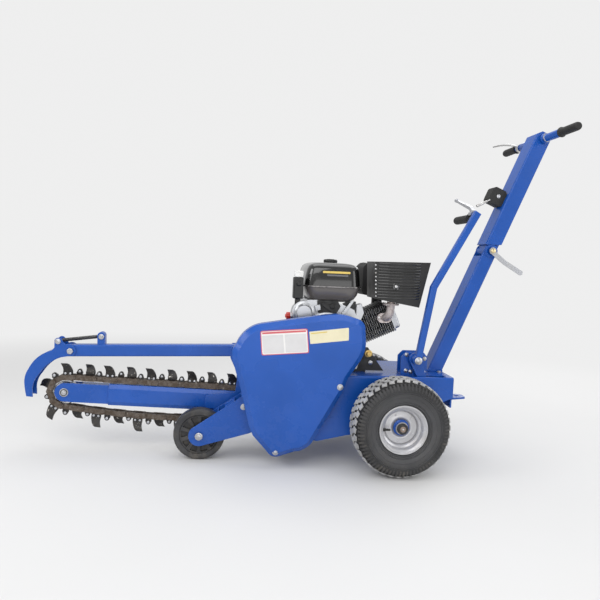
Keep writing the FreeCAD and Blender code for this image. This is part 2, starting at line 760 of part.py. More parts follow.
def chain_pins():
    """Pin centres at an even pitch round the path; an even number of links."""
    path = chain_path()
    steps = [math.dist(a, b) for a, b in zip(path, path[1:])]
    length = sum(steps)
    links = 2 * round(length / D.chain_pitch.value / 2)
    pins, walked, k = [], 0.0, 0
    for n in range(links):
        goal = n * length / links
        while walked + steps[k] < goal:
            walked += steps[k]
            k += 1
        share = (goal - walked) / steps[k]
        pins.append(tuple(path[k][i] + (path[k + 1][i] - path[k][i]) * share for i in (0, 1)))
    return pins


def link_frame(a, b):
    """Maps (along, outward) of one link to boom coordinates."""
    length = math.dist(a, b)
    dx, dz = (b[0] - a[0]) / length, (b[1] - a[1]) / length
    return lambda s, n: (a[0] + dx * s + dz * n, a[1] + dz * s - dx * n)


def vector(flat, y):
    return FreeCAD.Vector(flat[0], y, flat[1])


def side_bar(at, span, low, thick):
    """One side plate of a link: straight edges with round ends."""
    half, end = link_half_high.value, 10.5
    corners = [vector(at(s, n), low) for s, n in (
        (-3, half), (span + 3, half), (span + 3, -half), (-3, -half))]
    tips = [vector(at(span + end, 0), low), vector(at(-end, 0), low)]
    edges = [
        Part.LineSegment(corners[0], corners[1]).toShape(),
        Part.Arc(corners[1], tips[0], corners[2]).toShape(),
        Part.LineSegment(corners[2], corners[3]).toShape(),
        Part.Arc(corners[3], tips[1], corners[0]).toShape()]
    return Part.Face(Part.Wire(edges)).extrude(Y * thick)


def chain_shape(pins):
    thick, gap = D.chain_plate.value, D.chain_inner.value / 2
    pieces = []
    for k, a in enumerate(pins):
        b = pins[(k + 1) % len(pins)]
        at = link_frame(a, b)
        span = math.dist(a, b)
        inner = gap + (thick if k % 2 else 0)
        pieces.append(side_bar(at, span, inner, thick))
        pieces.append(side_bar(at, span, -inner - thick, thick))
        out = gap + 2 * thick + 2
        pieces.append(Part.makeCylinder(D.pin_radius.value, 2 * out, vector(a, -out), Y))
        pieces.append(Part.makeCylinder(D.roller_radius.value, 2 * gap, vector(a, -gap), Y))
    return pieces[0].multiFuse(pieces[1:])


def cup_tooth(at, side, tall):
    """A cup tooth: a foot on the side plate and a claw that leans ahead and flares outward."""
    base, out = link_half_high.value + 0.2, D.tooth_wide.value
    rows = [(0, 2, 34, 8, 20), (9, 3, 31, 8, 20), (tall * 0.45, 7, 27, 14, 24),
            (tall * 0.75, 15, 31, 20, 30), (tall, 27, 36, out - 7, out)]
    wires = []
    for n, s0, s1, y0, y1 in rows:
        low, high_y = sorted((side * y0, side * y1))
        corners = [vector(at(s, base + n), y) for s, y in (
            (s0, low), (s1, low), (s1, high_y), (s0, high_y))]
        wires.append(Part.makePolygon(corners + corners[:1]))
    return Part.makeLoft(wires, True, True)


def teeth_shape(pins):
    """Cup teeth on every second link, in turn left and right, tall and low by pairs."""
    teeth = []
    for k in range(1, len(pins), 2):
        at = link_frame(pins[k], pins[(k + 1) % len(pins)])
        side = 1 if k % 4 == 1 else -1
        tall = D.tooth_high.value if k % 4 == 3 else D.tooth_low.value
        teeth.append(cup_tooth(at, side, tall))
    return Part.makeCompound(teeth)


PINS = chain_pins()
finish(coded("digging_chain", chain_shape(PINS)), "digging_chain", *BOOM)
finish(coded("digging_teeth", teeth_shape(PINS)), "digging_teeth", *BOOM)


def sprocket_shape():
    """Teeth that stand between the rollers, on a hub that runs on the head shaft."""
    head = sprocket_radius.value
    root = head - D.roller_radius.value - 0.3
    count = int(D.sprocket_teeth.value)
    share = 2 * math.pi / count
    outline = []
    for k in range(count):
        middle = (k + 0.5) * share
        for part_of, radius in ((-0.5, root), (-0.25, root), (-0.115, head + 3),
                                (0.115, head + 3), (0.25, root)):
            angle = middle + part_of * share
            outline.append((radius * math.cos(angle), radius * math.sin(angle)))
    half = D.chain_inner.value / 2 - 2
    loop = [FreeCAD.Vector(x, -half, z) for x, z in outline]
    disc = Part.Face(Part.makePolygon(loop + loop[:1])).extrude(Y * (2 * half))
    hub = Part.makeCylinder(D.shaft_radius.value + 14, 70, FreeCAD.Vector(0, -35, 0), Y)
    bore = D.shaft_radius.value + D.running.value
    return disc.fuse(hub).cut(Part.makeCylinder(bore, 90, FreeCAD.Vector(0, -45, 0), Y))


finish(coded("drive_sprocket", sprocket_shape()), "drive_sprocket", *BOOM)

# ---------------------------------------------------------------- cradle, crumber bar and shoe

cheek = D.cradle_y
tube_half = D.crumber_tube / 2
cap_low, cap_high = D.crumber_z - tube_half + 1, D.crumber_z + 21
cap_front, cap_back = -D.crumber_back - 50, -D.crumber_back + 20
cradle_outline = [
    (34, -28), (44, 0), (30, 40), (-60, 120), (cap_back + 50, cap_high), (cap_front, cap_high),
    (cap_front, cap_low - 5), (-205, 120), (-210, 44), (-330, 26), (-330, -26), (-120, -40),
    (0, -44)]


def cradle_cheek(name, offset):
    cheek_body = plate(name, "XZ", cradle_outline, D.cradle_plate, offset,
                       holes=[(0, 0, D.shaft_radius + D.running)])
    soften(cheek_body, 11, runs_along(Y))
    return cheek_body


def cradle_hub(name, start, length):
    return turned(name, [
        (D.shaft_radius + D.running, start), (D.shaft_radius + 10, start),
        (D.shaft_radius + 10, start + length), (D.shaft_radius + D.running, start + length)], "Y")


beam_gap = cheek - wide
arm_out = D.arm_plate / 2 - arm_y
arm_angle = D.lever_arm_angle


def arm_point(length, across=0):
    """A point along the lever arms' direction, down and to the rear."""
    return (length * cosine(arm_angle) + across * sine(arm_angle),
            -length * sine(arm_angle) + across * cosine(arm_angle))


def arm_plate_body(name, offset):
    """A flat arm with a round eye at its pin, drawn in the machine's own directions."""
    return plate(name, "XZ", [
        arm_point(0, 24), arm_point(D.arm_long, 15) + (-15,), arm_point(D.arm_long + 15, 0) + (-15,),
        arm_point(D.arm_long, -15), arm_point(0, -24) + (-24.2,), arm_point(-23.9, 0) + (-24.2,)],
        D.arm_plate, offset)


boom_arm = cut("boom_arm", arm_plate_body("boom_arm_plate", -arm_y - D.arm_plate / 2),
               rod("boom_arm_bore", D.shaft_radius + D.running, 40, (0, arm_y - 20, 0)))
pin_u, pin_w = arm_point(D.arm_long)
pin_long = D.arm_inset / 2 - 0.5
pin_start = arm_y + D.arm_plate / 2 - 0.5
cap_size = (cap_back - cap_front, cheek - tube_half, 40)
cradle_pieces = [
    cradle_cheek("cheek_left", cheek), cradle_cheek("cheek_right", -cheek - D.cradle_plate),
    block("spacer_left", (80, beam_gap, 40), (-330, -cheek, -20)),
    block("spacer_right", (80, beam_gap, 40), (-330, wide, -20)),
    block("cap_left", cap_size, (cap_front, -cheek, cap_low)),
    block("cap_right", cap_size, (cap_front, tube_half, cap_low)),
    cradle_hub("hub_left", -arm_out, arm_out - cheek), cradle_hub("hub_right", cheek, 60),
    place(boom_arm, (0, 0, 0), (Y, -D.boom_tilt)),
    rod("boom_arm_pin", D.link_pin, pin_long, (
        pin_u * cosine(D.boom_tilt) - pin_w * sine(D.boom_tilt), pin_start,
        pin_u * sine(D.boom_tilt) + pin_w * cosine(D.boom_tilt))),
]
finish(fuse("boom_cradle", *cradle_pieces), "boom_cradle", *BOOM)

crumber_front = D.boom_reach - D.crumber_short
bar = plate("crumber_tube", "YZ", round_box(tube_half, tube_half, 6),
            crumber_front - D.crumber_back)
bore_in = flat_sketch(bar, "YZ", -1)
wall_in = tube_half - D.crumber_wall
draw_loop(bore_in, [(-wall_in, -wall_in), (wall_in, -wall_in), (wall_in, wall_in), (-wall_in, wall_in)])
pocket(bar, bore_in, crumber_front, back=True)
# the spring runs from the bolt on the shoe's lug back to the eye of the bracket on the bar
lug_u = -46.0
lug_top = tube_half + D.spring_radius + 43
lug_back = D.shoe_back + lug_u + D.spring_long + 20
spring_lug = plate("spring_lug", "XZ", [
    (lug_back - 15, tube_half - 1), (lug_back - 15, lug_top - 15, -15), (lug_back, lug_top, -15),
    (lug_back + 15, lug_top - 15), (lug_back + 15, tube_half - 1)], 34, middle=True)
anchor = rod("spring_anchor", 5, 46, (lug_back, -23, lug_top - 15))
shoe_half = D.crumber_tube / 2 + 1
side = shoe_half + D.shoe_plate
shoe_pin = turned("shoe_pin", [
    (0, -side - 10), (9, -side - 10), (11, -side - 8), (11, -side - 0.3),
    (D.shoe_pin, -side - 0.3), (D.shoe_pin, side + 0.3), (11, side + 0.3), (11, side + 8),
    (9, side + 10), (0, side + 10)], "Y")
place(shoe_pin, (D.shoe_back, 0, 0))
bar_part = fuse("bar_all", bar, spring_lug, anchor, shoe_pin)
bar_tilt = D.boom_tilt - D.crumber_tilt
front_u = -D.crumber_back + (D.crumber_back - crumber_front) * cosine(D.crumber_tilt)
front_w = D.crumber_z - (crumber_front - D.crumber_back) * sine(D.crumber_tilt)
BAR = boom_point(front_u, front_w)
finish(bar_part, "crumber_bar", BAR, (Y, bar_tilt))

shoe_outer = [(-72, 0, 134), (-159.6, -74.6, 100), (-175.5, -130, 320), (-166.8, -188)]
shoe_inner = [(-142.5, -190), (-144, -156, -93), (-121, -99, -159), (-34.4, -26.5), (-8, -22)]
shoe_outline = [(-20, 26), (-35.9, 45, 14), (-61.9, 36), (-62, 12)] + shoe_outer + shoe_inner + [
    (8, -20.5, 22), (20, 8, 30)]
strip_inner = [(-158.8, -187, -312), (-167.5, -131, -92), (-152.6, -78.6, -126), (-69.2, -7.5)]


def shoe_cheek(name, offset):
    return plate(name, "XZ", shoe_outline, D.shoe_plate, offset,
                 holes=[(0, 0, D.shoe_pin + D.running)])


shoe_strip = plate("shoe_strip", "XZ", shoe_outer + strip_inner, 2 * side, middle=True)
spring_bolt = rod("spring_bolt", 5, 2 * side + 12, (-48, -side - 6, 38))
shoe = fuse("shoe_all", shoe_cheek("shoe_left", shoe_half),
            shoe_cheek("shoe_right", -side), shoe_strip, spring_bolt)
SHOE = (BAR[0] + D.shoe_back * cosine(bar_tilt), 0, BAR[2] - D.shoe_back * sine(bar_tilt))
finish(shoe, "crumber_shoe", SHOE)


def spring_profile():
    """A closely wound spring as a ridged bar, one ridge a coil."""
    pitch = D.spring_long / D.spring_coils
    profile = [(0, 0)]
    for k in range(int(D.spring_coils.value)):
        profile += [(D.spring_radius - 2, pitch * k), (D.spring_radius, pitch * (k + 0.3)),
                    (D.spring_radius, pitch * (k + 0.7))]
    return profile + [(D.spring_radius - 2, D.spring_long), (0, D.spring_long)]


spring = turned("spring_coil", spring_profile(), "Z")
spring_rise = slope(lug_top - 15 - 38, lug_back - D.shoe_back + 48)
spring_start = (SHOE[0] - 48 + 5.6 * cosine(spring_rise), 0, SHOE[2] + 38 + 5.6 * sine(spring_rise))
finish(spring, "return_spring", spring_start, (Y, 90 - spring_rise))

# ---------------------------------------------------------------- engine

crank_x, crank_z = D.crank_x, D.deck_top + D.rail_high + D.crank_high
CRANK = (crank_x, 0, crank_z)
rail = fuse("rails", block("rail_left", (330, 40, D.rail_high), (-425, -100, D.deck_top)),
            block("rail_right", (330, 40, D.rail_high), (-425, 60, D.deck_top)))
finish(rail, "engine_rails")


def cylinder_point(u, v):
    """A point along and across the inclined cylinder, from the crankshaft."""
    return (u * cosine(D.cylinder_tilt) - v * sine(D.cylinder_tilt),
            u * sine(D.cylinder_tilt) + v * cosine(D.cylinder_tilt))


case = plate("engine_case", "XZ", [
    (-140, -D.crank_high), (135, -D.crank_high), cylinder_point(D.case_face, -80),
    cylinder_point(D.case_face, 62), (20, D.case_top), (-80, D.case_top - 4), (-120, 110),
    (-140, 30)], 220, offset=-110)
soften(case, 12, lambda e: runs_along(Y)(e) and e.BoundBox.ZMax < D.case_top.value - 8
       and e.BoundBox.XMax < 0 and e.BoundBox.ZMax > 0)
front_cover = turned("pto_cover", [
    (0, -110), (105, -110), (105, -122, 14), (92, -136), (40, -146), (34, -160), (0, -160)], "Y")
governor = turned("governor_dome", [
    (0, -109), (46, -109), (46, -134, 18), (28, -152), (0, -152)], "Y")
place(governor, (-98, 0, 104))
oil_plug = rod("oil_plug", 13, 40, (-158, -92, 84), X)
pto = rod("pto_shaft", 12.7, D.frame_half - 159, (0, -D.frame_half, 0))
fan = turned("fan_housing", [
    (0, 110), (114, 110), (121, 122), (121, 168, 16), (112, 184), (0, 184)], "Y")
engine_pieces = [case, front_cover, governor, oil_plug, pto, fan]
for n, (x, z) in enumerate(((-122, -100), (-60, -113), (60, -113), (118, -90))):
    engine_pieces.append(rod("case_boss_%d" % n, 11, 34, (x, -142, z)))
finish(fuse("engine_block", *engine_pieces), "engine_block", CRANK)

starter = turned("recoil_starter", [
    (0, 184.3), (108, 184.3), (112, 190), (104, 216, 40), (60, 232), (0, 236)], "Y")
vent = flat_sketch(starter, "XZ", -238)
draw_loop(vent, [(52, -6, -7), (52, 6), (90, 9), (90, -9)])
around(starter, pocket(starter, vent, 24, back=True), vent, 12)
finish(starter, "recoil_starter", CRANK)

CYL = (CRANK, (Y, -D.cylinder_tilt))


def fin(x, thick, size, drop):
    plain = Part.makeBox(thick, size, size, FreeCAD.Vector(x, -size / 2, -size / 2 - drop))
    corners = [edge for edge in plain.Edges if abs(edge.Curve.Direction.x) > 0.9]
    return plain.makeFillet(size / 9, corners)


def fins_shape():
    """A round barrel along +X with square cooling fins and four head bolts' bosses."""
    size, thick, count = D.fin_size.value, D.fin_thick.value, int(D.fin_count.value)
    start, pitch, drop = D.case_face.value + 0.3, D.fin_pitch.value, D.fin_drop.value
    long = 10 + count * pitch
    pieces = [Part.makeCylinder(size / 2 - 18, long, FreeCAD.Vector(start, 0, -drop), X)]
    inset = size / 2 - 24
    for y in (-inset, inset):
        for z in (-inset, inset):
            pieces.append(Part.makeCylinder(13, long, FreeCAD.Vector(start, y, z - drop), X))
    pieces += [fin(start + 10 + k * pitch, thick, size, drop) for k in range(count)]
    return pieces[0].multiFuse(pieces[1:])


finish(coded("engine_cylinder", fins_shape()), "engine_cylinder", *CYL)
cap_start = D.case_face + 10 + D.fin_count * D.fin_pitch + 0.6
rocker = body("valve_cover")
base = flat_sketch(rocker, "YZ", cap_start)
draw_loop(base, round_box(56, 54, 14, 0, -44))
pad(rocker, base, 5)
dome = flat_sketch(rocker, "YZ", cap_start)
draw_loop(dome, round_box(49, 47, 14, 0, -44))
pad(rocker, dome, 30)
soften(rocker, 9, lies_at(X, cap_start + 30))
finish(rocker, "valve_cover", *CYL)

tank_body = body("tank_lower")


def tank_section(height, half_x, half_y, radius, mid_x):
    sketch = flat_sketch(tank_body, "XY", height)
    draw_loop(sketch, round_box(half_x, half_y, radius, mid_x))
    return sketch


loft(tank_body, tank_section(0, 88, 126, 34, 4), tank_section(50, 112, 152, 34, 5))
pad(tank_body, tank_section(50, 122, 162, 36, 5), 7)
loft(tank_body, tank_section(57, 112, 152, 34, 5), tank_section(138, 92, 130, 34, 4))
soften(tank_body, 14, lies_at(Z, 138))
cap = turned("tank_cap", [
    (0, 137), (30, 137), (34, 140), (34, 150), (30, 154, 114.5), (0, 158)], "Z")
tank = fuse("fuel_tank", tank_body, place(cap, (20, 40, 0)))
finish(tank, "fuel_tank", (D.tank_x, D.tank_y, crank_z + D.case_top + 0.3))

guard_z = crank_z + D.guard_up
GUARD = (D.guard_x, D.guard_face + D.guard_deep, guard_z)
skin = D.guard_sheet
guard = plate("muffler_guard", "XZ", [
    (0, 0), (183, -30), (213, 112), (222, 154), (-7, 149)], D.guard_deep)
guard_inner = flat_sketch(guard, "XZ", -1)
draw_loop(guard_inner, [
    (skin * 1.2, skin), (181, skin - 29), (210, 112), (222 - skin * 1.4, 151), (skin * 1.2 - 7, 146)])
pocket(guard, guard_inner, D.guard_deep - skin + 1, back=True)
rib = flat_sketch(guard, "XZ", D.guard_deep - 0.5)
draw_loop(rib, [(14, 14), (14, 19), (176, 19), (176, 14)])
in_line(guard, pad(guard, rib, 3), rib, "V_Axis", D.rib_pitch * (D.rib_count - 1), D.rib_count)
finish(guard, "muffler_guard", GUARD)
can = plate("muffler_can", "XZ", [
    (20, 18), (166, -5), (196, 110), (196, 134), (14, 134)], D.guard_deep - 26, offset=14)
soften(can, 12, runs_along(Y))
studs = [rod("stud_%d" % i, 7, 12, (x, skin - D.guard_deep + 0.3, 70)) for i, x in enumerate((50, 150))]
finish(fuse("muffler_all", can, *studs), "muffler", GUARD)
pipe_high = D.guard_up - D.pipe_up - D.pipe_gap
pipe = fuse("exhaust_pipe", rod("pipe_up", 16, pipe_high, (0, 0, 0), Z),
            rod("pipe_in", 16, 44, (0, 0, 0), Y),
            block("pipe_flange", (64, 6, 44), (-32, 38, -22)),
            block("pipe_top_flange", (48, 40, 6), (-24, -20, pipe_high - 6)))
finish(pipe, "exhaust_pipe", (D.pipe_x, -D.fin_size / 2 - 44.3, crank_z + D.pipe_up))
cleaner = plate("cleaner_box", "XZ", [
    (0, 0), (150, -20), (180, 40), (176, 130), (20, 140), (0, 120)], 160)
soften(cleaner, 18, runs_along(Y))
port_y = D.fin_size / 2 + 0.3
carburettor = fuse("carburettor", block("carb_body", (60, 44, 60), (44, port_y - 226, -104)),
                   block("intake_elbow", (40, 30, 60), (54, port_y - 212, -50)))
finish(fuse("cleaner_all", cleaner, carburettor), "air_cleaner", (D.guard_x - 4, 226, guard_z + 4))

# ---------------------------------------------------------------- columns and handle

lean = 90 - D.column_slope
deck_gap = D.seat_gap / 2
deep_half, wide_half, skin = D.column_deep / 2, D.column_wide / 2, D.column_wall
ear_clear = deep_half + 6

column = plate("column_tube", "YZ", [
    (-wide_half, -60), (wide_half, -60), (wide_half, D.hinge_up), (-wide_half, D.hinge_up)],
    D.column_deep, middle=True)
soften(column, 7, runs_along(Z))
inner = flat_sketch(column, "XY", -61)
draw_loop(inner, [
    (-deep_half + skin, -wide_half + skin), (deep_half - skin, -wide_half + skin),
    (deep_half - skin, wide_half - skin), (-deep_half + skin, wide_half - skin)])
pocket(column, inner, D.hinge_up + 100, back=True)
mouth = flat_sketch(column, "YZ")
draw_loop(mouth, [
    (-wide_half + skin, D.hinge_up - ear_clear), (wide_half - skin, D.hinge_up - ear_clear),
    (wide_half - skin, D.hinge_up + 40), (-wide_half + skin, D.hinge_up + 40)])
pocket(column, mouth, D.column_deep + 20, middle=True)
ears = cut("column_ears", rod("ear_round", deep_half, D.column_wide, (0, -wide_half, D.hinge_up)),
           block("ear_gap", (120, 2 * (wide_half - skin), 120),
                 (-60, -wide_half + skin, D.hinge_up - 60)))
bored = cut("column_bored", fuse("column_with_ears", column, ears),
            rod("hinge_bore", D.hinge_pin + D.running, 140, (0, -70, D.hinge_up)))
place(bored, (0, 0, 0), (Y, lean))
level = cut("column_level", bored, block("below_deck", (400, 300, 200), (-200, -150, -200)))
foot_half = wide_half + 20
foot = plate("foot_plate", "XY", [
    (-70, -foot_half), (deep_half - 4, -foot_half), (deep_half - 4, foot_half), (-70, foot_half)], 8)
foot_hole = flat_sketch(foot, "XY", 9)
draw_loop(foot_hole, [
    (-deep_half + 3, -wide_half + skin), (deep_half - 7, -wide_half + skin),
    (deep_half - 7, wide_half - skin), (-deep_half + 3, wide_half - skin)])
pocket(foot, foot_hole, 20)
finish(fuse("lower_column", level, foot), "lower_column", (D.column_base_x, 0, D.deck_top + deck_gap))

HINGE = (D.column_base_x + D.hinge_up * sine(lean), 0,
         D.deck_top + deck_gap + D.hinge_up * cosine(lean))
UPPER = (HINGE, (Y, lean))
upper_half = D.upper_wide / 2
upper = plate("upper_channel", "XZ", [
    (-deep_half - skin, 16), (-deep_half, 16), (deep_half, deep_half + 12), (deep_half, D.upper_long),
    (deep_half - 10, D.upper_long + 10), (-deep_half + 12, D.upper_long + 10),
    (-deep_half - skin, D.upper_long - 8)], D.upper_wide, middle=True)
soften(upper, 7, lambda e: runs_along(Z)(e) and e.BoundBox.XMax < 0)
hollow_up = flat_sketch(upper, "XY", -1)
draw_loop(hollow_up, [
    (-deep_half, -upper_half + skin), (deep_half - skin, -upper_half + skin),
    (deep_half - skin, upper_half - skin), (-deep_half, upper_half - skin)])
pocket(upper, hollow_up, D.upper_long - 8, back=True)
tongue_half = wide_half - skin - 1
tongue_flat = plate("tongue_flat", "XZ", [
    (-deep_half + 0.2, 46), (-deep_half + 6, 0), (deep_half - 6, 0), (deep_half - skin - 0.2, 46),
    (deep_half - skin - 0.2, 110), (-deep_half + 0.2, 110)], 2 * tongue_half, middle=True)
tongue_round = rod("tongue_round", deep_half - 6, 2 * tongue_half, (0, -tongue_half, 0))
wings = [block("tongue_wing_" + n, (deep_half * 2 - skin - 0.4, upper_half - skin - tongue_half, 60),
               (-deep_half + 0.2, y, 50)) for n, y in (("l", -upper_half + skin), ("r", tongue_half))]
rod_in, rod_out = wide_half + D.seat_gap, wide_half + 12
hinge_rod = turned("hinge_rod", [
    (0, -rod_out - 2), (10, -rod_out - 2), (12, -rod_out), (12, -rod_in), (D.hinge_pin, -rod_in),
    (D.hinge_pin, rod_in), (12, rod_in), (12, rod_out), (10, rod_out + 2), (0, rod_out + 2)], "Y")
seat_up = D.upper_long - 18
bar_seat = rod("bar_seat", D.bar_radius, 140, (0, -70, seat_up))
upper_all = cut("upper_bored", fuse("upper_all", upper, tongue_flat, tongue_round, hinge_rod, *wings),
                bar_seat)
finish(upper_all, "upper_column", *UPPER)


def upper_point(u, w):
    """A point across and along the upper column, from the hinge."""
    return (HINGE[0] + u * cosine(lean) + w * sine(lean), 0,
            HINGE[2] - u * sine(lean) + w * cosine(lean))


BARS = upper_point(0, seat_up)
handlebar = rod("handlebar_tube", D.bar_radius - 0.1, 2 * D.bar_half, (0, 0, 0))
finish(handlebar, "handlebar", (BARS[0], -D.bar_half, BARS[2]))


def grip(name, out):
    end = out * D.bar_half
    start = out * (D.bar_half - D.grip_long)
    inside_r = D.bar_radius + 0.1
    return turned(name, [
        (inside_r, start), (D.grip_radius + 3, start), (D.grip_radius + 3, start + out * 6),
        (D.grip_radius, start + out * 9), (D.grip_radius, end), (D.grip_radius - 3, end + out * 4),
        (0, end + out * 4), (0, end + out * D.seat_gap), (inside_r, end + out * D.seat_gap)], "Y")


grips = fuse("handle_grips", grip("grip_left", -1), grip("grip_right", 1))
finish(grips, "handle_grips", (BARS[0], 0, BARS[2]))

clip_at = D.bar_half - D.grip_long - 36
lever_ring = cut("ring", rod("ring_out", D.bar_radius + 6, 26, (0, clip_at, 0)),
                 rod("ring_in", D.bar_radius + 0.1, 40, (0, clip_at - 5, 0)))
blade_low = D.bar_radius + 5
lever_blade = plate("blade", "XY", [
    (-66, clip_at + 14, -14), (-54, clip_at + 2), (-14, clip_at + 2), (-14, clip_at + 22),
    (-42, clip_at + 26, 18), (-50, clip_at + 40), (-52, clip_at + 158, 8), (-66, clip_at + 158)], 5)
place(lever_blade, (0, 0, blade_low))
lever_post = block("blade_post", (16, 18, 9), (-24, clip_at + 3, blade_low - 8))
finish(fuse("grip_lever", lever_ring, lever_blade, lever_post), "grip_lever", BARS)

catch = plate("catch_box", "XZ", [
    (-66, -20, 14), (-52, -34), (-6, -34), (0, -28), (0, 26), (-10, 36), (-50, 36, 16), (-66, 20)],
    56, middle=True)
CATCH = upper_point(-deep_half - skin - D.seat_gap, D.catch_up)
finish(catch, "lever_catch", (CATCH[0], 0, CATCH[2]), (Y, lean))

clamp = plate("clamp_arm", "XZ", [
    (-6, 4), (14, -2), (60, -38), (132, -78, -10), (138, -94, -8), (126, -98), (52, -56), (-2, -16)],
    6, offset=rod_out + 2.3)
clamp_hub = rod("clamp_hub", 15, 8, (0, -rod_out - 10.3, 0))
finish(fuse("clamp_lever", clamp, clamp_hub), "clamp_lever", HINGE)

# ---------------------------------------------------------------- depth lever and link

lever_y = -D.frame_half - D.lever_out
lever_z = D.deck_top + D.lever_up
PIVOT = (D.lever_x, 0, lever_z)
side_y = D.frame_half - D.bracket_inset
foot_z = D.seat_gap - D.lever_up - 0.1
cheek_points = [(-50, foot_z), (60, foot_z), (60, 4), (44, 24), (-30, 24), (-50, 4)]
tube_v = D.lever_tube / 2
pin_end = lever_y - tube_v - 6


def bracket_cheek(name, offset):
    cheek_body = plate(name, "XZ", cheek_points, 6, offset=offset)
    soften(cheek_body, 8, lambda e: runs_along(Y)(e) and e.BoundBox.ZMin > 0)
    return cheek_body


bracket = fuse(
    "lever_bracket", bracket_cheek("bracket_outer", side_y), bracket_cheek("bracket_inner", side_y - 50),
    block("bracket_back", (6, 50, 4 - foot_z), (54, -side_y, foot_z)),
    block("bracket_base", (110, 50, 6), (-50, -side_y, foot_z)),
    rod("lever_pin", D.lever_pin, 50 - side_y - pin_end, (0, pin_end, 0)))
finish(bracket, "lever_bracket", PIVOT)

lever_line = plate("lever_bar", "XZ", [
    (-13, -16), (13, -16), (63, 290), (226, 592), (202, 606), (38, 298)], D.lever_tube,
    offset=-lever_y - tube_v)
soften(lever_line, 4, lambda e: e.Curve.TypeId == "Part::GeomLine" and e.Length > 200)
lever_hub = rod("lever_hub", 19, tube_v - lever_y - side_y - 8, (0, lever_y - tube_v, 0))
lever_arm = arm_plate_body("lever_arm_plate", -arm_y - D.arm_plate / 2)
pin_at = arm_point(D.arm_long)
lever_arm_pin = rod("lever_arm_pin", D.link_pin, pin_long + 4, (pin_at[0], pin_start, pin_at[1]))
lever_all = cut("lever_bored", fuse("lever_all", lever_line, lever_hub, lever_arm, lever_arm_pin),
                rod("lever_bore", D.lever_pin + D.running, 200, (0, lever_y - 60, 0)))
finish(lever_all, "depth_lever", PIVOT)

grip_at = (D.lever_x + 204, lever_y + tube_v + D.seat_gap, lever_z + 578)
grip_r = D.lever_grip_radius
lever_grip = turned("lever_handle", [
    (0, 0), (11, 0), (11, 30), (grip_r - 2, 36), (grip_r, 90), (grip_r - 1, 176, 12),
    (grip_r - 8, 186), (0, 186)], "Y")
finish(lever_grip, "lever_grip", grip_at)
release_blade = plate("release_blade", "YZ", [
    (4, 20), (18, 20), (30, 34), (196, 84), (196, 92), (24, 46), (4, 32)], 16, middle=True)
release_ball = doc.addObject("Part::Sphere", "release_ball")
release_ball.Radius = 9
release = fuse("release", block("release_clip", (26, 24, 12), (-13, 2, 11.3)), release_blade,
               place(release_ball, (0, 196, 88)))
finish(release, "lever_release", grip_at)

link_half = D.link_plate / 2
pivot_rise, pivot_run = lever_z - D.shaft_z, D.lever_x - D.shaft_x
span = diagonal(pivot_rise, pivot_run)
eye = D.link_pin + 8
link = plate("link_bar", "XZ", [(-span, -9), (0, -9), (0, 9), (-span, 9)], D.link_plate, middle=True)
eye_rear = rod("eye_rear", eye, D.link_plate, (0, -link_half, 0))
eye_front = rod("eye_front", eye + 1, D.link_plate, (-span, -link_half, 0))
link_all = cut("link_bored", fuse("link_all", link, eye_rear, eye_front),
               fuse("link_bores", rod("bore_rear", D.link_pin + D.running, 40, (0, -20, 0)),
                    rod("bore_front", D.link_pin + 1.0, 40, (-span, -20, 0))))
finish(link_all, "lift_link", (D.lever_x + pin_at[0], link_y, lever_z + pin_at[1]),
       (Y, -slope(pivot_rise, pivot_run)))

# ---------------------------------------------------------------- check and write

doc.recompute()
for obj in doc.Objects:
    if "Invalid" in obj.State or "Error" in obj.State:
        raise ValueError("%s (%s) failed: %s" % (obj.Name, obj.Label, obj.State))
for obj in PARTS:
    if obj.Shape.isNull() or not obj.Shape.isValid() or not obj.Shape.Solids:
        raise ValueError(obj.Label + " has no valid shape")
os.makedirs("parts", exist_ok=True)
for obj in PARTS:
    obj.Shape.exportStep(os.path.join("parts", obj.Label + ".step"))
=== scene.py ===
"""Finishes, tread, fasteners and trim of a walk-behind trencher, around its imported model."""

